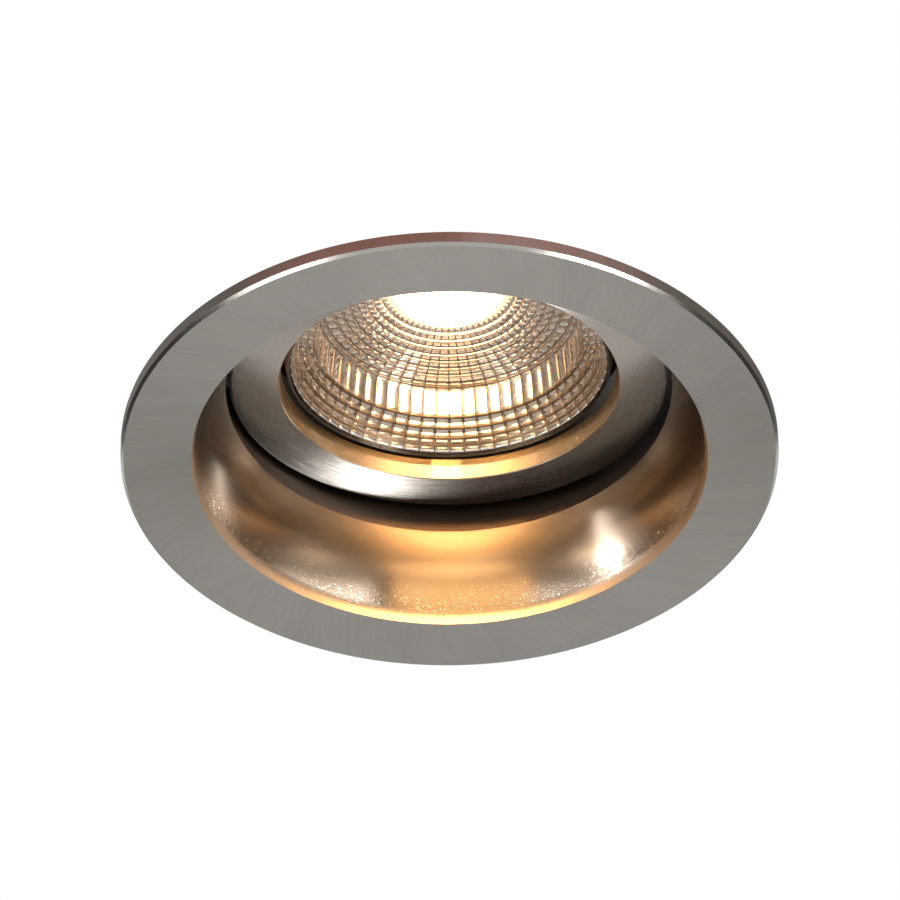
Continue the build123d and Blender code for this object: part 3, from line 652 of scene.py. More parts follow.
@dataclass
class Shaper:
    """Makes meshes from profiles and simple shapes, in millimetres, and turns them into pieces."""

    palette: Palette
    merge: float = 1e-7
    edge_steps: int = 3

    def spin(self, profile: Sequence[Point], steps: int, closed: bool = True) -> BMesh:
        """Spin a profile round Z.

        Args:
            profile: Points as radius and height, in millimetres.
            steps: Steps in the full turn.
            closed: Whether the last point joins the first.

        Returns:
            The new mesh.
        """
        bm = bmesh.new()
        verts = [bm.verts.new((r * MM, 0.0, z * MM)) for r, z in profile]
        pairs = list(zip(verts, verts[1:]))
        if closed:
            pairs.append((verts[-1], verts[0]))
        edges = [bm.edges.new(pair) for pair in pairs]
        bmesh.ops.spin(
            bm,
            geom=verts + edges,
            cent=(0.0, 0.0, 0.0),
            axis=(0.0, 0.0, 1.0),
            angle=math.tau,
            steps=steps,
            use_merge=True,
        )
        bmesh.ops.remove_doubles(bm, verts=bm.verts, dist=self.merge)
        bmesh.ops.recalc_face_normals(bm, faces=bm.faces)
        return bm

    def block(self, low: Spot, high: Spot, edge: float = 0.0) -> BMesh:
        """Return a box.

        Args:
            low: Its lowest corner.
            high: Its highest corner.
            edge: The radius of its rounded edges, or 0.

        Returns:
            The new mesh.
        """
        bm = bmesh.new()
        middle = (Vector(low) + Vector(high)) / 2 * MM
        size = (Vector(high) - Vector(low)) * MM
        bmesh.ops.create_cube(bm, size=1.0, matrix=Matrix.LocRotScale(middle, None, size))
        if edge:
            bmesh.ops.bevel(
                bm,
                geom=bm.edges,
                offset=edge * MM,
                affect="EDGES",
                segments=self.edge_steps,
                profile=0.5,
                material=-1,
            )
        return bm

    def rod(self, radius: float, low: float, high: float, steps: int = 48) -> BMesh:
        """Return a solid cylinder on Z.

        Args:
            radius: Its radius.
            low: Height of its underside.
            high: Height of its top.
            steps: Its sides.

        Returns:
            The new mesh.
        """
        bm = bmesh.new()
        bmesh.ops.create_cone(
            bm,
            cap_ends=True,
            segments=steps,
            radius1=radius * MM,
            radius2=radius * MM,
            depth=(high - low) * MM,
            matrix=shift(0.0, 0.0, (low + high) / 2),
        )
        return bm

    def combine(
        self, bm: BMesh, tool: BMesh, joint: Joint, place: Matrix | None = None
    ) -> BMesh:
        """Join a second mesh to the first or cut it away.

        Args:
            bm: The first mesh, which is freed.
            tool: The second mesh, which is freed.
            joint: Whether to join or to cut.
            place: Where the second mesh goes first.

        Returns:
            The new mesh.
        """
        if place is not None:
            bmesh.ops.transform(tool, matrix=place, verts=tool.verts)
        holders = []
        for label, mesh in (("base", bm), ("tool", tool)):
            data = bpy.data.meshes.new(label)
            mesh.to_mesh(data)
            mesh.free()
            holders.append(bpy.data.objects.new(label, data))
            bpy.context.scene.collection.objects.link(holders[-1])
        change = holders[0].modifiers.new("combine", "BOOLEAN")
        change.object, change.operation, change.solver = holders[1], joint.value, "EXACT"
        bpy.context.view_layer.update()
        made = bmesh.new()
        made.from_object(holders[0], bpy.context.evaluated_depsgraph_get())
        for holder in holders:
            bpy.data.meshes.remove(holder.data)
        return made

    def piece(
        self,
        bm: BMesh,
        name: str,
        finishes: Sequence[Finish],
        place: Matrix | None = None,
        sharp: float = 32.0,
        pick: Callable[[BMFace], int] | None = None,
    ) -> Object:
        """Turn a mesh into a piece at the origin.

        Args:
            bm: The mesh, which is freed.
            name: The piece's name.
            finishes: Its finishes.
            place: Where it goes.
            sharp: Edges that turn more than this many degrees stay sharp.
            pick: Gives a face's finish by its index, before the piece is placed.

        Returns:
            The new object.
        """
        for face in bm.faces:
            face.smooth = True
            face.material_index = pick(face) if pick else 0
        for edge in bm.edges:
            edge.smooth = edge.calc_face_angle(0.0) < math.radians(sharp)
        if place is not None:
            bmesh.ops.transform(bm, matrix=place, verts=bm.verts)
        made = linked(name, bm)
        for finish in finishes:
            made.data.materials.append(self.palette.material(finish))
        return made


def linked(name: str, bm: BMesh) -> Object:
    """Put a mesh in the scene.

    Args:
        name: The name of its object.
        bm: The mesh, which is freed.

    Returns:
        The new object.
    """
    mesh = bpy.data.meshes.new(name)
    bm.to_mesh(mesh)
    bm.free()
    made = bpy.data.objects.new(name, mesh)
    bpy.context.scene.collection.objects.link(made)
    return made


def stand_for(made: Object, body: Body, node: str) -> Object:
    """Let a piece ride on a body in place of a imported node.

    Args:
        made: The piece.
        body: The body that it rides on.
        node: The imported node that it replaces.

    Returns:
        The piece.
    """
    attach(made, body.value)
    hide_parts(node)
    return made


def shift(x: float, y: float, z: float) -> Matrix:
    """Return the matrix of a move in millimetres."""
    return Matrix.Translation((x * MM, y * MM, z * MM))


def corner(middle: Point, radius: float, start: float, end: float, steps: int = 6) -> list[Point]:
    """Return points round a section's corner.

    Args:
        middle: The corner's centre.
        radius: Its radius.
        start: The first angle in degrees.
        end: The last angle in degrees.
        steps: Steps between the two.

    Returns:
        The points, from the first angle to the last.
    """
    turns = [math.radians(start + (end - start) * step / steps) for step in range(steps + 1)]
    return [(middle[0] + radius * math.cos(turn), middle[1] + radius * math.sin(turn)) for turn in turns]


def reach(face: BMFace) -> Point:
    """Return the radius about Z and the height of a face's middle, in millimetres."""
    middle = face.calc_center_median()
    return math.hypot(middle.x, middle.y) / MM, middle.z / MM


@dataclass
class LampAxis:
    """The tilted axis of the lamp: depths run up it from the front face of the gimbal ring."""

    pivot_height: float = 17.0
    pivot_depth: float = 4.65
    tilt: float = math.radians(6.2)

    def way(self) -> Spot:
        """Return the direction up the axis."""
        return (0.0, -math.sin(self.tilt), math.cos(self.tilt))

    def height(self, depth: float) -> float:
        """Return how far a depth is along the axis from the model's origin, in metres."""
        return (self.pivot_height * math.cos(self.tilt) + depth - self.pivot_depth) * MM

    def matrix(self) -> Matrix:
        """Return the matrix that carries a mesh with its depths along Z to the lamp's place."""
        turn = Matrix.Rotation(self.tilt, 4, "X")
        return shift(0.0, 0.0, self.pivot_height) @ turn @ shift(0.0, 0.0, -self.pivot_depth)


# Sub-assemblies


@dataclass
class TrimRing:
    """The flange, cone and collar."""

    shaper: Shaper
    flange_radius: float = 50.0
    flange_front: float = -3.4
    flange_back: float = -1.0
    chamfer: float = 0.45
    aperture: float = 39.3
    cone_top: Point = (34.15, 11.0)
    cone_sag: float = 0.45
    cone_end: Point = (38.86, -1.6)
    cone_steps: int = 24
    lip: tuple[Point, ...] = ((39.02, -2.05), (39.13, -2.5))
    collar: Point = (34.8, 36.8)
    collar_top: float = 25.0
    cone_back: float = 40.44
    pivot_height: float = 17.0
    pad_radius: float = 5.0
    pad_reach: Point = (35.8, 37.4)
    pivot_bore: float = 2.05
    ear_radius: float = 2.8
    ear_bore: float = 1.3
    ear_root: float = 3.95
    ear_span: Point = (5.55, 7.55)
    ear_sides: int = 40
    clip_axis: Point = (39.75, 14.0)
    anchor: Spot = (3.0, 16.2, 0.75)
    anchor_floor: float = 35.6
    overcut: float = 1.0
    front_slack: float = 0.01
    chamfer_band: float = 0.3
    edge_band: float = 0.05
    cone_lean: float = 0.2
    inside_band: Point = (0.3, 0.1)
    steps: int = 256

    def profile(self) -> list[Point]:
        """Draw the ring's section, from the cone's top round the flange and back.

        Returns:
            Points as radius and height.
        """
        (top_radius, top), (end_radius, end) = self.cone_top, self.cone_end
        points = []
        for step in range(self.cone_steps + 1):
            share = step / self.cone_steps
            bulge = 4 * share * (1 - share) * self.cone_sag
            radius = top_radius + (end_radius - top_radius) * share - bulge
            points.append((radius, top + (end - top) * share))
        inner, outer = self.collar
        return [
            *points,
            *self.lip,
            (self.aperture, self.flange_front),
            (self.flange_radius - self.chamfer, self.flange_front),
            (self.flange_radius, self.flange_front + self.chamfer),
            (self.flange_radius, self.flange_back),
            (self.cone_back, self.flange_back),
            (outer, top),
            (outer, self.collar_top),
            (inner, self.collar_top),
            (inner, top),
        ]

    def ear(self) -> BMesh:
        """Make one clip ear at the origin: its pin on Z and its root towards -Y.

        Returns:
            The new mesh.
        """
        bm = bmesh.new()
        sides = {"cap_ends": False, "segments": self.ear_sides}
        outline = bmesh.ops.create_circle(bm, radius=self.ear_radius * MM, **sides)["verts"]
        for vert in outline:
            if vert.co.y < -NEAR_ZERO:
                vert.co.y = -self.ear_root * MM
        bmesh.ops.create_circle(bm, radius=self.ear_bore * MM, **sides)
        bmesh.ops.bridge_loops(bm, edges=bm.edges)
        grown = bmesh.ops.extrude_face_region(bm, geom=bm.faces)["geom"]
        thickness = (self.ear_span[1] - self.ear_span[0]) * MM
        top = [item for item in grown if isinstance(item, BMVert)]
        bmesh.ops.translate(bm, verts=top, vec=(0.0, 0.0, thickness))
        bmesh.ops.recalc_face_normals(bm, faces=bm.faces)
        return bm

    def fittings(self, bm: BMesh) -> BMesh:
        """Add the pivot pads, the clip ears and their bores to the spun ring.

        Args:
            bm: The spun ring, which is freed.

        Returns:
            The new mesh.
        """
        shaper, (inner, outer) = self.shaper, self.collar
        for end in (-1.0, 1.0):
            out = shift(0.0, 0.0, self.pivot_height) @ Matrix.Rotation(end * math.pi / 2, 4, "Y")
            pad = shaper.rod(self.pad_radius, *self.pad_reach)
            bore = shaper.rod(self.pivot_bore, inner - 2 * self.overcut, self.pad_reach[1] + self.overcut)
            bm = shaper.combine(bm, pad, Joint.JOIN, out)
            bm = shaper.combine(bm, bore, Joint.CUT, out)
        # Turns an ear's pin from Z to X
        stand = Matrix(((0, 0, 1, 0), (0, 1, 0, 0), (-1, 0, 0, 0), (0, 0, 0, 1)))
        across, height, hole = self.anchor
        for turn in (0.0, math.pi):
            about = Matrix.Rotation(turn, 4, "Z")
            for start in (self.ear_span[0], -self.ear_span[1]):
                seat = about @ shift(start, *self.clip_axis) @ stand
                bm = shaper.combine(bm, self.ear(), Joint.JOIN, seat)
            hook = shaper.rod(hole, self.anchor_floor, outer + self.overcut)
            seat = about @ shift(-across, 0.0, height) @ Matrix.Rotation(-math.pi / 2, 4, "X")
            bm = shaper.combine(bm, hook, Joint.CUT, seat)
        return bm

    def finish_of(self, face: BMFace) -> int:
        """Choose a face's finish by where it is on the section.

        Args:
            face: The face.

        Returns:
            Its place in the list of finishes.
        """
        radius, height = reach(face)
        if height < self.flange_front + self.front_slack and radius > self.aperture:
            return TrimZone.FACE
        if radius > self.flange_radius - self.chamfer_band and height < self.flange_front + self.chamfer:
            return TrimZone.CHAMFER
        if radius > self.flange_radius - self.edge_band:
            return TrimZone.EDGE
        top = self.cone_top[1]
        if height < top and radius < self.aperture and face.normal.z < self.cone_lean:
            return TrimZone.CONE
        if radius < self.collar[0] + self.inside_band[0] and height > top - self.inside_band[1]:
            return TrimZone.INSIDE
        return TrimZone.BACK

    def build(self) -> Object:
        """Build and dress the ring.

        Returns:
            The piece.
        """
        finishes = (
            BrushedMetal(
                "flange_brushed_nickel",
                (0.73, 0.70, 0.66),
                0.34,
                lay=Lay.ACROSS,
                fine=0.45,
                contrast=0.13,
                swirl=0.008,
                stretch=0.7,
            ),
            BlastedMetal("cone_satin_nickel", (0.52, 0.425, 0.335), 0.17),
            BrushedMetal("rim_turned_edge", (0.58, 0.55, 0.52), 0.26),
            BrushedMetal("chamfer_polished", (0.66, 0.64, 0.61), 0.18),
            BrushedMetal("collar_turned_nickel", (0.52, 0.50, 0.47), 0.42),
            # Painted shade: the collar's inner wall, the same nickel in shadow, is coloured near black
            BrushedMetal("collar_inside_painted_shade", (0.10, 0.075, 0.06), 0.45),
        )
        bm = self.fittings(self.shaper.spin(self.profile(), self.steps))
        made = self.shaper.piece(bm, "trim_ring_fine", finishes, pick=self.finish_of)
        return stand_for(made, Body.HOUSING, "trim_ring")


@dataclass
class GimbalRing:
    """The flat-faced ring that tilts in the collar."""

    shaper: Shaper
    axis: LampAxis
    outer: float = 33.62
    bore_front: float = 26.06
    bore_back: float = 25.8
    bore_edge: float = 0.15
    relief: float = 27.6
    lip: float = 3.5
    depth: float = 9.3
    edge: float = 0.5
    thread: Point = (1.55, 28.62)
    screw: Point = (1.3, 5.1)
    screw_place: Point = (30.5, 4.6)
    hole_sides: int = 32
    overcut: float = 1.0
    slack: float = 0.1
    face_depth: float = 0.3
    steps: int = 220

    def drill(self, bm: BMesh) -> BMesh:
        """Cut the pivot threads and the bracket's screw holes.

        Args:
            bm: The spun ring, which is freed.

        Returns:
            The new mesh.
        """
        shaper, (thread_radius, thread_floor) = self.shaper, self.thread
        screw_radius, screw_depth = self.screw
        out, across = self.screw_place
        for end in (-1.0, 1.0):
            bore = shaper.rod(thread_radius, thread_floor, self.outer + self.overcut, self.hole_sides)
            seat = shift(0.0, 0.0, self.axis.pivot_depth) @ Matrix.Rotation(end * math.pi / 2, 4, "Y")
            bm = shaper.combine(bm, bore, Joint.CUT, seat)
            for side in (-across, across):
                floor, top = self.depth - screw_depth, self.depth + self.overcut
                hole = shaper.rod(screw_radius, floor, top, self.hole_sides)
                bm = shaper.combine(bm, hole, Joint.CUT, shift(end * out, side, 0.0))
        return bm

    def finish_of(self, face: BMFace) -> int:
        """Choose a face's finish by where it is on the section.

        Args:
            face: The face.

        Returns:
            Its place in the list of finishes.
        """
        radius, depth = reach(face)
        if radius < self.bore_front + self.slack and depth < self.lip - self.slack:
            return RingZone.LIP
        if radius < self.relief + self.slack and depth > self.lip - self.slack:
            return RingZone.RELIEF
        return RingZone.FACE if depth < self.face_depth else RingZone.WALL

    def build(self) -> Object:
        """Build and dress the ring.

        Returns:
            The piece.
        """
        profile = [
            (self.bore_front + self.bore_edge, 0.0),
            *corner((self.outer - self.edge, self.edge), self.edge, -90.0, 0.0),
            (self.outer, self.depth),
            (self.relief, self.depth),
            (self.relief, self.lip),
            (self.bore_back, self.lip),
            (self.bore_front, self.bore_edge),
        ]
        finishes = (
            BrushedMetal("ring_turned_face", (0.27, 0.25, 0.23), 0.23, stretch=0.9),
            BrushedMetal("ring_turned_wall", (0.36, 0.33, 0.30), 0.30),
            BlastedMetal("ring_satin_lip", (0.70, 0.55, 0.38), 0.22, low=-1.0, high=1.0),
            # Painted shade: the relief wall inside the ring is coloured near black, as the dark space above
            # the ceiling would leave it
            BrushedMetal("ring_relief_painted_shade", (0.06, 0.05, 0.04), 0.5),
        )
        bm = self.drill(self.shaper.spin(profile, self.steps))
        place = self.axis.matrix()
        made = self.shaper.piece(bm, "gimbal_ring_fine", finishes, place=place, pick=self.finish_of)
        return stand_for(made, Body.CARRIER, "gimbal_ring")


@dataclass
class ReflectorBowl:
    """The lamp's bowl: rows of mirror cells, each a steep wall turned to the chip and a step back."""

    shaper: Shaper
    axis: LampAxis
    section: tuple[Point, ...] = (
        (24.28, 4.5),
        (22.62, 6.34),
        (20.21, 8.78),
        (18.8, 13.55),
        (13.2, 14.9),
        (9.0, 16.5),
    )
    chip_depth: float = 15.6
    cell_floors: tuple[Point, ...] = ((13.2, 15.2), (0.0, 16.4))
    view_rise: float = math.radians(33.845)
    # Each row's height, its wall's turn from the chip in degrees, its faces, and its wall's share
    rows: tuple[tuple[float, float, int, float], ...] = (
        (1.21, 14.0, 1, 0.94),
        (1.24, 8.0, 1, 0.94),
        (1.64, 2.0, 1, 0.94),
        (1.73, 0.0, 1, 0.94),
        (4.80, 0.0, 5, 0.94),
        *((height, 0.0, 1, 0.45) for height in (1.21, 0.92, 0.98, 0.85, 0.95, 0.90, 0.95, 1.09)),
    )
    tall_band: Point = (18.0, 20.6)
    cells: int = 64
    wall_lean: float = 0.5
    border_share: float = 0.2
    short_cell: float = 0.6
    mouth_band: float = 22.6
    joint: Point = (0.16, 0.05)
    low_crowns: tuple[Point, ...] = ((0.18, 0.04),)
    full_crowns: tuple[Point, ...] = ((0.30, 0.12), (0.20, 0.04))
    ledge_joint: Point = (0.14, -0.03)
    ledge_dish: Point = (0.24, -0.06)
    sheet: float = 0.08

    def seen(self, point: Point) -> float:
        """Return how high the photograph's view shows a point of the bowl's far side."""
        return math.cos(self.view_rise) * point[1] - math.sin(self.view_rise) * point[0]

    def mark(self, height: float) -> Point:
        """Find the point of the section that the photograph's view shows at a height.

        Args:
            height: The height, as seen() gives it.

        Returns:
            The point.
        """
        pairs = list(zip(self.section, self.section[1:]))
        near, far = next((pair for pair in pairs if height <= self.seen(pair[1])), pairs[-1])
        share = (height - self.seen(near)) / (self.seen(far) - self.seen(near))
        return (near[0] + (far[0] - near[0]) * share, near[1] + (far[1] - near[1]) * share)

    def profile(self) -> list[Point]:
        """Draw the bowl: each row's wall starts on the smooth section and steps back to it.

        Returns:
            Points as radius and height.
        """
        start = self.section[0]
        low, high = self.seen(start), self.seen(self.section[-1])
        scale = (high - low) / sum(row[0] for row in self.rows)
        across, along = math.sin(self.view_rise), math.cos(self.view_rise)
        points, done = [start], low
        for height, turn, parts, wall_share in self.rows:
            rise = height * scale * wall_share / parts
            for _ in range(parts):
                radius, depth = points[-1]
                meet = math.atan2(self.chip_depth - depth - rise / 2, radius)
                lean = math.tan((self.view_rise - meet) / 2 + math.radians(turn))
                floor = next(deepest for least, deepest in self.cell_floors if radius > least)
                top = min(depth + rise / (along + across * lean), floor)
                points.append((radius - lean * (top - depth), top))
            done += height * scale
            points.append(self.mark(done))
        return points

    def grouped(self, walls: Faces) -> list[Faces]:
        """Group the walls' faces into cells: a single face, or a column of them in the tall row.

        Args:
            walls: The faces.

        Returns:
            Each cell's faces.
        """
        columns: dict[int, Faces] = {}
        cells = []
        for face in walls:
            if self.tall_band[0] < reach(face)[0] < self.tall_band[1]:
                middle = face.calc_center_median()
                turn = math.atan2(middle.y, middle.x) % math.tau
                columns.setdefault(int(turn / math.tau * self.cells), []).append(face)
            else:
                cells.append([face])
        return cells + list(columns.values())

    @staticmethod
    def least(cell: Faces) -> float:
        """Return the length of a cell's shortest edge."""
        return min(edge.calc_length() for face in cell for edge in face.edges)

    def crowns(self, cell: Faces) -> tuple[Point, ...]:
        """Choose a cell's crowning steps: full at the mouth, low farther in, and none on a short cell.

        Args:
            cell: The cell's faces.

        Returns:
            Each step's width and rise.
        """
        if self.least(cell) < self.short_cell * MM:
            return ()
        return self.full_crowns if reach(cell[0])[0] > self.mouth_band else self.low_crowns

    def inset(self, bm: BMesh, cell: Faces, size: Point) -> Faces:
        """Raise a cell inside its border.

        Args:
            bm: The bowl's mesh.
            cell: The cell's faces.
            size: The border's width and how far it rises, which a small cell has less of.

        Returns:
            The border's faces.
        """
        share = min(self.least(cell) * self.border_share / (size[0] * MM), 1.0)
        width, rise = (value * share * MM for value in size)
        made = bmesh.ops.inset_region(bm, faces=cell, thickness=width, depth=rise, use_even_offset=True)
        return made["faces"]

    def build(self) -> Object:
        """Build and dress the bowl.

        Returns:
            The piece.
        """
        bm = self.shaper.spin(self.profile(), self.cells, closed=False)
        bm.faces.ensure_lookup_table()
        outermost = max(bm.faces, key=lambda f: reach(f)[0])
        if outermost.normal.xy.dot(outermost.calc_center_median().xy) > 0.0:
            bmesh.ops.reverse_faces(bm, faces=bm.faces)
        walls = [f for f in bm.faces if abs(f.normal.z) < self.wall_lean]
        ledges = [f for f in bm.faces if abs(f.normal.z) >= self.wall_lean]
        zones = dict.fromkeys(ledges, BowlZone.STEP)
        for cell in self.grouped(walls):
            zones.update(dict.fromkeys(self.inset(bm, cell, self.joint), BowlZone.JOINT))
            for crown in self.crowns(cell):
                self.inset(bm, cell, crown)
        for ledge in ledges:
            zones.update(dict.fromkeys(self.inset(bm, [ledge], self.ledge_joint), BowlZone.JOINT))
            self.inset(bm, [ledge], self.ledge_dish)
        finishes = (
            BrushedMetal("reflector_bright_metal", (0.92, 0.89, 0.85), 0.11, contrast=0.02),
            # Painted shade: the grooves round the cells and the steps are coloured dark brown
            BrushedMetal("reflector_joints_painted_shade", (0.36, 0.25, 0.16), 0.34, contrast=0.05),
            # Painted light: the steps are a golden copy of the bowl's metal, standing for the chip's warm
            # glow on them
            BrushedMetal("reflector_steps_painted_glow", (0.88, 0.72, 0.52), 0.22, contrast=0.03),
        )
        made = self.shaper.piece(
            bm,
            "reflector_cells",
            finishes,
            place=self.axis.matrix(),
            pick=lambda face: zones.get(face, BowlZone.CELL),
        )
        wall = made.modifiers.new("sheet", "SOLIDIFY")
        wall.thickness, wall.offset = self.sheet * MM, -1.0
        return stand_for(made, Body.LAMP, "reflector")


@dataclass
class LampLens:
    """The clear front disc, with a rounded edge and a rim painted dark, a painted shade of the gap where it
    is seated.
    """

    shaper: Shaper
    axis: LampAxis
    radius: float = 24.9
    front: float = 3.2
    back: float = 4.4
    edge: float = 0.4
    edge_steps: int = 5
    steps: int = 160

    def build(self) -> Object:
        """Build and dress the disc.

        Returns:
            The piece.
        """
        flat = self.radius - self.edge
        front = corner((flat, self.front + self.edge), self.edge, -90.0, 0.0, self.edge_steps)
        profile = [(0.0, self.front), *front, (self.radius, self.back), (0.0, self.back)]
        made = self.shaper.piece(
            self.shaper.spin(profile, self.steps, closed=False),
            "lamp_lens_fine",
            # Painted shade: the disc's edge is coloured near black for the shaded gap round it
            (ClearGlass("lens_clear_glass", WHITE, 0.0), Finish("lens_rim_painted_shade", (0.045, 0.03, 0.02), 0.35)),
            place=self.axis.matrix(),
            pick=lambda face: LensZone.RIM if reach(face)[0] > flat else LensZone.GLASS,
        )
        made.visible_shadow = False
        return stand_for(made, Body.LAMP, "lamp_lens")


@dataclass
class SpringClip:
    """The wound spring and the soft sleeve of one clip, drawn square to the clip's pin."""

    shaper: Shaper
    side: ClipSide
    pin: Point = (39.75, 14.0)
    drop: float = math.radians(9.0)
    wire: float = 0.4
    wire_sides: int = 14
    wire_sharp: float = 60.0
    coil: float = 2.2
    turns: int = 4
    turn_steps: int = 24
    drop_steps: int = 2
    rise: float = 6.0
    anchor: float = 3.8
    leg: float = 9.0
    bend: float = 1.2
    bend_steps: int = 8
    hook: float = 3.85
    sleeve: tuple[Spot, Spot] = ((23.0, -4.75, -6.2), (35.0, -1.25, 6.2))
    sleeve_edge: float = 0.5
    pocket: tuple[Spot, Spot] = ((22.0, -3.85, -5.3), (34.1, -2.15, 5.3))
    grooves: tuple[float, ...] = (25.75, 28.5, 31.25)
    groove_radius: float = 0.4
    groove_sides: int = 24
    overcut: float = 1.0
    spring_finish: Finish = BrushedMetal("spring_steel_wire", (0.50, 0.49, 0.47), 0.28, lay=Lay.STRAIGHT)
    sleeve_finish: Finish = Finish("pad_black_rubber", (0.025, 0.025, 0.026), 0.62)

    def place(self, drop: float) -> Matrix:
        """Place the clip's section in the model, turned down by an angle.

        Args:
            drop: The angle.

        Returns:
            The matrix from the section to the model.
        """
        side = self.side.value
        out = Vector((0.0, side * math.cos(drop), -math.sin(drop)))
        along = Vector((side, 0.0, 0.0))
        turn = Matrix((out, along.cross(out), along)).transposed().to_4x4()
        return shift(0.0, side * self.pin[0], self.pin[1]) @ turn

    def sweep(
        self,
        bm: BMesh,
        ring: Loop,
        run: Sequence[float],
        angle: float = 0.0,
        centre: Sequence[float] = (0.0, 0.0, 0.0),
        steps: int = 1,
    ) -> Loop:
        """Carry the wire's open end along a run, round a centre, or both at once.

        Args:
            bm: The wire's mesh.
            ring: The open end's vertices and edges.
            run: How far each step goes, in millimetres.
            angle: How far the end turns about the pin's way.
            centre: The middle of that turn, in millimetres.
            steps: Steps in the sweep.

        Returns:
            The new open end.
        """
        middle, move = Vector(centre) * MM, Vector(run) * MM
        swept = bmesh.ops.spin(
            bm, geom=ring, cent=middle, axis=(0.0, 0.0, -1.0), dvec=move, angle=angle, steps=steps
        )
        return [item for item in swept["geom_last"] if not isinstance(item, BMFace)]

    def spring(self) -> BMesh:
        """Make the spring: a leg in the collar, the coil, a leg along the wing and its hook.

        Returns:
            The new mesh.
        """
        bm = bmesh.new()
        start = shift(-self.anchor, self.coil, -self.rise / 2) @ Matrix.Rotation(math.pi / 2, 4, "Y")
        bmesh.ops.create_circle(
            bm, cap_ends=False, segments=self.wire_sides, radius=self.wire * MM, matrix=start
        )
        along = Vector((math.cos(self.drop), -math.sin(self.drop), 0.0))
        down = Vector((-math.sin(self.drop), -math.cos(self.drop), 0.0))
        steps = self.turn_steps * self.turns + self.drop_steps
        bend_middle = along * self.leg + down * (self.bend - self.coil)
        end = self.sweep(bm, list(bm.verts) + list(bm.edges), (self.anchor, 0.0, 0.0))
        climb = (0.0, 0.0, self.rise / steps)
        end = self.sweep(bm, end, climb, math.tau * self.turns + self.drop, steps=steps)
        end = self.sweep(bm, end, along * self.leg)
        end = self.sweep(bm, end, (0.0, 0.0, 0.0), math.pi / 2, bend_middle, self.bend_steps)
        self.sweep(bm, end, down * self.hook)
        bmesh.ops.holes_fill(bm, edges=[e for e in bm.edges if e.is_boundary], sides=0)
        bmesh.ops.recalc_face_normals(bm, faces=bm.faces)
        return bm

    def cover(self) -> BMesh:
        """Make the sleeve: a rounded block with a pocket for the wing's end and grip grooves below.

        Returns:
            The new mesh.
        """
        shaper, (low, high) = self.shaper, self.sleeve
        bm = shaper.block(low, high, self.sleeve_edge)
        bm = shaper.combine(bm, shaper.block(*self.pocket), Joint.CUT)
        for run in self.grooves:
            start, end = low[2] - self.overcut, high[2] + self.overcut
            tool = shaper.rod(self.groove_radius, start, end, self.groove_sides)
            bm = shaper.combine(bm, tool, Joint.CUT, shift(run, low[1], 0.0))
        return bm

    def build(self) -> list[Object]:
        """Build and dress the spring and the sleeve.

        Returns:
            The two pieces.
        """
        label, body = self.side.name.lower(), self.side.body()
        spring = self.shaper.piece(
            self.spring(),
            f"clip_spring_{label}_fine",
            (self.spring_finish,),
            place=self.place(0.0),
            sharp=self.wire_sharp,
        )
        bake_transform(spring)
        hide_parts(f"clip_spring_{label}")
        sleeve = self.shaper.piece(
            self.cover(), f"clip_pad_{label}_fine", (self.sleeve_finish,), place=self.place(self.drop)
        )
        return [spring, stand_for(sleeve, body, f"clip_pad_{label}")]


@dataclass
class CeilingSeal:
    """The foam ring between the flange and the ceiling."""

    shaper: Shaper
    inner: float = 45.0
    outer: float = 48.5
    low: float = -1.0
    edge: float = 0.3
    edge_steps: int = 4
    sharp: float = 60.0
    steps: int = 160

    def build(self) -> Object:
        """Build and dress the ring.

        Returns:
            The piece.
        """
        near, far = self.inner + self.edge, self.outer - self.edge
        floor, top = self.low + self.edge, -self.edge
        corners = ((far, floor, -90.0), (far, top, 0.0), (near, top, 90.0), (near, floor, 180.0))
        profile = []
        for radius, height, start in corners:
            profile += corner((radius, height), self.edge, start, start + 90.0, self.edge_steps)
        foam = CellFoam("seal_grey_foam", (0.10, 0.10, 0.10), 0.88)
        bm = self.shaper.spin(profile, self.steps)
        made = self.shaper.piece(bm, "ceiling_seal_fine", (foam,), sharp=self.sharp)
        return stand_for(made, Body.HOUSING, "ceiling_seal")


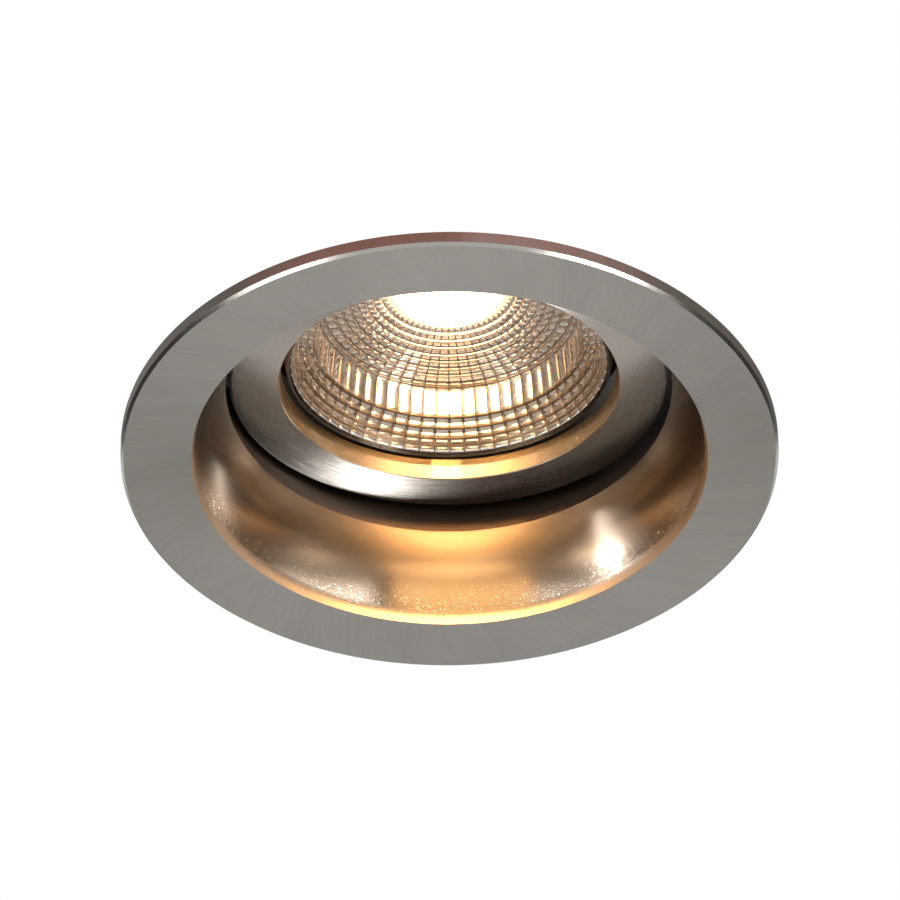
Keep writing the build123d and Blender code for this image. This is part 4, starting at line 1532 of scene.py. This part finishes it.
@dataclass
class CarriedNodes:
    """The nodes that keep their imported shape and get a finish.

    Two keep their packed finish too: the heatsink, which no view shows, and the lampholder's contacts, of
    which a view from above shows little.
    """

    palette: Palette
    axis: LampAxis
    rim_depth: float = 9.3

    def finishes(self) -> dict[str, Finish]:
        """List a finish for each node.

        Returns:
            The finishes by node.
        """
        steel = BrushedMetal("screw_bright_steel", (0.56, 0.55, 0.53), 0.30)
        zinc = BrushedMetal("strap_zinc_plate", (0.62, 0.63, 0.63), 0.38, lay=Lay.STRAIGHT)
        # The shell's painted shade starts at the back of the gimbal ring
        rim = {"axis": self.axis.way(), "start": self.axis.height(self.rim_depth)}
        return {
            "pivot_screws": steel,
            "bracket_screws": steel,
            "lampholder_screws": steel,
            "board_screws": steel,
            "pivot_washers": Finish("washer_black_nylon", (0.03, 0.03, 0.03), 0.45),
            "lamp_bracket": zinc,
            "clip_arm_front": zinc,
            "clip_arm_rear": zinc,
            "clip_pin_front": steel,
            "clip_pin_rear": steel,
            "lampholder_body": Finish("holder_white_ceramic", (0.74, 0.72, 0.67), 0.35),
            "lampholder_cover": Finish("cover_white_ceramic", (0.76, 0.74, 0.69), 0.35),
            "led_chip": GlowingPhosphor("chip_lit_phosphor", (0.9, 0.75, 0.35), 0.5),
            "led_board": Finish("board_white_mask", (0.74, 0.74, 0.72), 0.4),
            "lamp_shell": PlasticWithPaintedShade("shell_white_plastic_painted_shade", (0.70, 0.70, 0.68), 0.42, **rim),
            "lamp_base": Finish("base_white_plastic", (0.70, 0.69, 0.66), 0.42),
            "lamp_pins": BrushedMetal("pin_nickel_plate", (0.64, 0.61, 0.56), 0.25),
            "driver_board": Finish("driver_green_board", (0.03, 0.16, 0.07), 0.4),
            "driver_capacitor": Finish("capacitor_black_sleeve", (0.02, 0.02, 0.025), 0.3),
            "driver_coil": Finish("coil_yellow_tape", (0.55, 0.40, 0.05), 0.45),
            "driver_rectifier": Finish("rectifier_black_body", (0.02, 0.02, 0.02), 0.5),
        }

    def build(self) -> None:
        """Give each carried node its finish."""
        for name, finish in self.finishes().items():
            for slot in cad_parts[name].material_slots:
                slot.material = self.palette.material(finish)
            log.info("finish %s on %s", finish.name, name)


# Lights


class LampShape(Enum):
    """The outlines of the area lamps, and the share of its width and height that each fills."""

    OVAL = ("ELLIPSE", math.pi / 4)
    BOX = ("RECTANGLE", 1.0)


def area_lamp(name: str, shape: LampShape, size: Point, level: float, tint: Colour) -> Object:
    """Add an area lamp that the camera doesn't see.

    Args:
        name: The lamp's name.
        shape: Its outline.
        size: Its width and height in metres.
        level: How bright its face is, where 1 is white.
        tint: Its colour.

    Returns:
        The lamp's object.
    """
    lamp = bpy.data.lights.new(name, "AREA")
    lamp.shape, filled = shape.value
    lamp.size, lamp.size_y = size
    lamp.energy = level * math.pi * filled * size[0] * size[1]
    lamp.color = tint
    made = bpy.data.objects.new(name, lamp)
    made.visible_camera = False
    bpy.context.scene.collection.objects.link(made)
    return made


def light_only(pieces: Sequence[Object], name: str, *lamps: Object) -> None:
    """Let lamps light some pieces alone.

    Args:
        pieces: The pieces that catch their light.
        name: A name for the group of pieces.
        lamps: The lamps.
    """
    receivers = bpy.data.collections.new("lit_by_" + name)
    for piece in pieces:
        receivers.objects.link(piece)
    for lamp in lamps:
        lamp.light_linking.receiver_collection = receivers


@dataclass(frozen=True)
class Bounce:
    """A lamp that stands for light thrown back inside, in millimetres and degrees."""

    name: str
    place: Spot
    aim: Spot
    along: Spot
    size: Point
    level: float
    spread: float
    tint: Colour = WHITE

    def matrix(self) -> Matrix:
        """Place the lamp so that it faces its aim, with its height along its third spot.

        Returns:
            The matrix.
        """
        place, aim, along = (Vector(spot) for spot in (self.place, self.aim, self.along))
        away = (place - aim).normalized()
        up = (along - away * along.dot(away)).normalized()
        turned = Matrix((up.cross(away), up, away)).transposed()
        return shift(*place) @ turned.to_4x4()


@dataclass
class InnerLights:
    """The lights inside: the lit chip's warm light, and the bounce of the ring and the cone on the cone."""

    axis: LampAxis
    trim: Object
    ring: Object
    chip_depth: float = 15.3
    chip_across: float = 15.0
    chip_level: float = 70.0
    chip_tint: Colour = (1.0, 0.52, 0.17)
    chip_lean: float = math.radians(46.0)
    chip_spread: float = 75.0
    bounces: tuple[Bounce, ...] = (
        Bounce(
            "ring_bounce",
            place=(-4.1, 29.0, 9.5),
            aim=(-35.3, 12.5, 0.5),
            along=(11.8, 2.0, -8.7),
            size=(2.0, 18.0),
            level=0.7,
            spread=110.0,
            tint=(1.0, 0.98, 0.96),
        ),
        Bounce(
            "cone_bounce",
            place=(-36.0, 7.0, -1.5),
            aim=(25.0, 28.2, 0.5),
            along=(0.0, 0.0, 1.0),
            size=(1.2, 13.0),
            level=2.0,
            spread=30.0,
        ),
        Bounce(
            "tall_bounce",
            place=(13.0, 23.5, 5.5),
            aim=(24.2, 26.6, 5.3),
            along=(-1.4, -1.8, 10.5),
            size=(0.8, 11.0),
            level=0.32,
            spread=50.0,
            tint=(1.0, 0.98, 0.95),
        ),
        Bounce(
            "near_bounce",
            place=(0.0, -25.0, 3.0),
            aim=(0.0, 37.0, 3.0),
            along=(0.0, 0.0, 1.0),
            size=(48.0, 7.0),
            level=0.8,
            spread=110.0,
            tint=(1.0, 0.60, 0.27),
        ),
    )

    def chip(self) -> Object:
        """Add the chip's lamp, which lights the trim ring and the gimbal ring.

        Returns:
            The lamp's object.
        """
        size = (self.chip_across * MM, self.chip_across * MM)
        made = area_lamp("chip_light", LampShape.OVAL, size, self.chip_level, self.chip_tint)
        aim = shift(0.0, 0.0, self.chip_depth) @ Matrix.Rotation(self.chip_lean, 4, "X")
        made.matrix_world = self.axis.matrix() @ aim
        made.data.spread = math.radians(self.chip_spread)
        light_only((self.trim, self.ring), made.name, made)
        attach(made, Body.LAMP.value)
        return made

    def bounce(self, run: Bounce) -> Object:
        """Add one of the bounce lamps, which light the trim ring alone.

        Args:
            run: The lamp's place and light.

        Returns:
            The lamp's object.
        """
        size = (run.size[0] * MM, run.size[1] * MM)
        made = area_lamp(run.name, LampShape.OVAL, size, run.level, run.tint)
        made.matrix_world = run.matrix()
        made.data.spread = math.radians(run.spread)
        light_only((self.trim,), run.name, made)
        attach(made, Body.HOUSING.value)
        return made

    def build(self) -> list[Object]:
        """Add the lamps and return their objects."""
        return [self.chip(), *(self.bounce(run) for run in self.bounces)]


# Studio


@dataclass(frozen=True)
class Softbox:
    """A soft rectangular lamp that faces the part, in degrees and metres."""

    name: str
    bearing: float
    rise: float
    away: float
    size: Point
    level: float
    tint: Colour

    def build(self) -> Object:
        """Add the lamp.

        Returns:
            The lamp's object.
        """
        made = area_lamp(self.name, LampShape.BOX, self.size, self.level, self.tint)
        turn, lift = math.radians(self.bearing), math.radians(self.rise)
        way = Vector((math.cos(turn) * math.cos(lift), math.sin(turn) * math.cos(lift), math.sin(lift)))
        made.location = way * self.away
        made.rotation_euler = way.to_track_quat("Z", "Y").to_euler()
        return made


@dataclass
class Studio:
    """The floor, the ceiling board, the lights and the world, in metres."""

    ambient: float = 0.60
    disc_sides: int = 128
    floor_height: float = -1.6
    floor_radius: float = 3.4
    floor_tones: tuple[Colour, Colour] = ((0.78, 0.78, 0.77), (0.82, 0.82, 0.81))
    floor_noise: Spot = (3.0, 3.0, 0.55)
    floor_roughness: float = 0.8
    cut_out: float = 0.0442
    board_reach: float = 3.0
    board_height: float = 0.0002
    near_shade: Colour = (0.34, 0.17, 0.14)
    far_shade: Colour = (0.16, 0.145, 0.13)
    near_range: Point = (-0.049, -0.038)
    shade_range: Point = (0.053, 0.09)
    void_inner: float = 0.0257
    void_height: float = 0.0253
    void_colour: Colour = (0.012, 0.009, 0.007)
    cloth_radius: float = 2.4
    cloth_sides: int = 96
    cloth_gap: float = 0.02
    cloth_colour: Colour = (0.03, 0.024, 0.02)
    cloth_roughness: float = 0.9
    mat_radius: float = 1.0
    mat_lift: float = 0.01
    room_lights: tuple[Softbox, ...] = (
        Softbox("edge_right", -36.0, -41.0, 1.6, (0.60, 0.24), 9.0, (1.0, 0.98, 0.96)),
        Softbox("edge_left", -150.0, -40.0, 1.6, (0.72, 0.24), 3.4, (1.0, 0.98, 0.96)),
        Softbox("cone_streak", -34.0, -14.5, 1.6, (1.30, 0.26), 4.5, (1.0, 0.96, 0.90)),
        Softbox("cone_streak_left", -140.0, -14.5, 1.6, (0.86, 0.20), 3.0, (1.0, 0.96, 0.92)),
        Softbox("warm_card", -95.0, -13.0, 1.8, (2.00, 0.40), 2.4, (1.0, 0.63, 0.29)),
    )
    ring_lights: tuple[Softbox, ...] = (
        Softbox("ring_glint", 57.5, -62.0, 1.5, (0.20, 0.20), 900.0, (1.0, 0.99, 0.97)),
        Softbox("ring_sheen", 90.0, -27.5, 1.6, (1.40, 0.45), 1.25, (1.0, 0.98, 0.95)),
    )
    top_lights: tuple[Softbox, ...] = (
        Softbox("top_key", -60.0, 48.0, 1.4, (0.8, 0.8), 2.1, (1.0, 0.99, 0.97)),
        Softbox("top_fill", 130.0, 40.0, 1.4, (0.8, 0.8), 1.5, (0.98, 0.99, 1.0)),
    )

    def world(self) -> None:
        """Make the world: white where it is seen, and a soft even light elsewhere."""
        made = bpy.data.worlds.new("studio")
        bpy.context.scene.world = made
        made.use_nodes = True
        graph = Graph(made.node_tree)
        made.node_tree.nodes.clear()
        soft, white = (
            graph.node("Background", {"Color": WHITE, "Strength": strength}).outputs[0]
            for strength in (self.ambient, 1.0)
        )
        # The camera, reflections and clear pieces see the white
        path = graph.node("LightPath").outputs
        seen = graph.math("MAXIMUM", path["Is Camera Ray"], path["Is Glossy Ray"])
        seen = graph.math("MAXIMUM", seen, path["Is Transmission Ray"])
        both = graph.node("MixShader", {0: seen, 1: soft, 2: white})
        graph.node("OutputWorld", {"Surface": both.outputs[0]})

    def disc(self, name: str, inner: float, outer: float, height: float) -> Object:
        """Make a flat ring or disc that faces down.

        Args:
            name: The object's name.
            inner: Its hole's radius, or 0.
            outer: Its radius.
            height: Its height.

        Returns:
            The object.
        """
        bm = bmesh.new()
        bmesh.ops.create_circle(bm, cap_ends=inner == 0.0, segments=self.disc_sides, radius=outer)
        if inner:
            bmesh.ops.create_circle(bm, cap_ends=False, segments=self.disc_sides, radius=inner)
            bmesh.ops.bridge_loops(bm, edges=bm.edges)
        bmesh.ops.translate(bm, verts=bm.verts, vec=(0.0, 0.0, height))
        for face in bm.faces:
            face.normal_update()
            if face.normal.z > 0.0:
                face.normal_flip()
        made = linked(name, bm)
        return made

    @staticmethod
    def one_sided(made: Object, name: str, front: Callable[[Graph], NodeSocket]) -> None:
        """Dress a disc with a shader that shows from below alone, and let it cast no shadow.

        Args:
            made: The disc.
            name: The material's name.
            front: Adds the shader to the material's graph and returns its output.
        """
        material = bpy.data.materials.new(name)
        material.use_nodes = True
        graph = Graph(material.node_tree)
        material.node_tree.nodes.clear()
        shown, clear = front(graph), graph.node("BsdfTransparent").outputs[0]
        behind = graph.node("NewGeometry").outputs["Backfacing"]
        both = graph.node("MixShader", {0: behind, 1: shown, 2: clear})
        graph.node("OutputMaterial", {"Surface": both.outputs[0]})
        made.data.materials.append(material)
        made.visible_shadow = False

    def board_front(self, graph: Graph) -> NodeSocket:
        """Return the board's white, with the flange's shade close to it in reflections.

        Args:
            graph: The board's graph.

        Returns:
            The shader's output.
        """
        where = graph.node("TexCoord").outputs["Object"]
        away = graph.node("VectorMath", {0: where}, operation="LENGTH").outputs["Value"]
        forward = graph.node("SeparateXYZ", {"Vector": where}).outputs["Y"]
        shade = graph.mix(graph.span(forward, self.near_range), self.near_shade, self.far_shade)
        close = graph.span(away, self.shade_range, (1.0, 0.0))
        near = graph.math("MULTIPLY", graph.node("LightPath").outputs["Is Glossy Ray"], close)
        return graph.node("Emission", {"Color": graph.mix(near, WHITE, shade), "Strength": 1.0}).outputs[0]

    def board(self) -> None:
        """Make the ceiling board: white from below and clear from above, so that the back shows."""
        made = self.disc("ceiling_board", self.cut_out, self.board_reach, self.board_height)
        self.one_sided(made, "board_white", self.board_front)
        made.visible_diffuse = False

    def void(self) -> None:
        """Shade the gaps round the lamp, as the dark space above a ceiling does."""
        made = self.disc("ceiling_void", self.void_inner, self.cut_out, self.void_height)
        dark = {"Color": self.void_colour}
        self.one_sided(made, "void_dark", lambda graph: graph.node("BsdfDiffuse", dark).outputs[0])

    @staticmethod
    def plain(name: str, roughness: float) -> tuple[Material, Graph, NodeSocket]:
        """Start a plain material.

        Args:
            name: The material's name.
            roughness: Its roughness.

        Returns:
            The material, its graph and the socket for its colour.
        """
        made = bpy.data.materials.new(name)
        made.use_nodes = True
        shader = made.node_tree.nodes["Principled BSDF"]
        shader.inputs["Roughness"].default_value = roughness
        return made, Graph(made.node_tree), shader.inputs["Base Color"]

    def floor(self) -> None:
        """Make the pale floor, far below."""
        made = self.disc("floor", 0.0, self.floor_radius, self.floor_height)
        material, graph, colour = self.plain("floor_pale", self.floor_roughness)
        cloud = graph.noise(graph.node("TexCoord").outputs["Object"], *self.floor_noise)
        graph.feed(colour, graph.mix(cloud, *self.floor_tones))
        made.data.materials.append(material)

    def surround(self) -> None:
        """Hang a dark cloth round the set, seen only in reflections, to keep the horizon out of the metal."""
        bm = bmesh.new()
        bmesh.ops.create_cone(
            bm,
            cap_ends=False,
            segments=self.cloth_sides,
            radius1=self.cloth_radius,
            radius2=self.cloth_radius,
            depth=-self.floor_height - self.cloth_gap,
            matrix=Matrix.Translation((0.0, 0.0, (self.floor_height - self.cloth_gap) / 2)),
        )
        wall = linked("dark_cloth", bm)
        mat = self.disc("dark_mat", 0.0, self.mat_radius, self.floor_height + self.mat_lift)
        material, graph, colour = self.plain("cloth_dark", self.cloth_roughness)
        graph.feed(colour, self.cloth_colour)
        for made in (wall, mat):
            made.data.materials.append(material)
            made.visible_camera = False
            made.visible_diffuse = False
            made.visible_shadow = False
            made.visible_transmission = False

    def build(self, ring: Object) -> None:
        """Build the set and its lights.

        Args:
            ring: The gimbal ring, which has lights of its own.
        """
        for step in (self.world, self.board, self.void, self.floor, self.surround):
            step()
        for box in self.room_lights:
            box.build()
        light_only((ring,), "glint", *(box.build() for box in self.ring_lights))
        for box in self.top_lights:
            box.build()


@dataclass
class PhotoCamera:
    """The camera at the photograph's viewing angle, in millimetres and pixels, with its far end in metres."""

    rise: float = math.radians(40.045)
    roll: float = math.radians(-0.545)
    away: float = 1287.5
    focal: float = 8474.0
    offset: Point = (-0.33, 11.86)
    aim: float = -3.4
    pixels: float = 900.0
    sensor: float = 36.0
    farthest: float = 50.0

    def build(self) -> None:
        """Place the camera below the ceiling, looking up at the flange's middle."""
        ahead = Vector((0.0, math.cos(self.rise), math.sin(self.rise)))
        right = Vector((1.0, 0.0, 0.0))
        up = Vector((0.0, -math.sin(self.rise), math.cos(self.rise)))
        turned = right * math.cos(self.roll) + up * math.sin(self.roll)
        up = up * math.cos(self.roll) - right * math.sin(self.roll)
        across, over = (s * self.away / self.focal for s in self.offset)
        place = ahead * -self.away - turned * across + up * over + Vector((0.0, 0.0, self.aim))
        data = bpy.data.cameras.new("camera")
        data.sensor_width = self.sensor
        data.lens = self.focal * self.sensor / self.pixels
        data.clip_end = self.farthest
        made = bpy.data.objects.new("camera", data)
        turn = Matrix((turned, up, -ahead)).transposed().to_4x4()
        made.matrix_world = shift(*place) @ turn
        bpy.context.scene.collection.objects.link(made)
        bpy.context.scene.camera = made


def main() -> None:
    """Build every piece, the set and the camera."""
    logging.basicConfig(level=logging.INFO, format="%(name)s: %(message)s")
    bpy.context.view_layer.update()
    palette, axis = Palette(Patterns()), LampAxis()
    shaper = Shaper(palette)
    bpy.context.scene.view_settings.view_transform = "Standard"
    PhotoCamera().build()
    CarriedNodes(palette, axis).build()
    trim = TrimRing(shaper).build()
    ring = GimbalRing(shaper, axis).build()
    bowl = ReflectorBowl(shaper, axis).build()
    lens = LampLens(shaper, axis).build()
    seal = CeilingSeal(shaper).build()
    clips = [piece for side in ClipSide for piece in SpringClip(shaper, side).build()]
    lights = InnerLights(axis, trim, ring).build()
    Studio().build(ring)
    for made in (trim, ring, bowl, lens, seal, *clips, *lights):
        log.info("built %s", made.name)


if __name__ == "__main__":
    main()
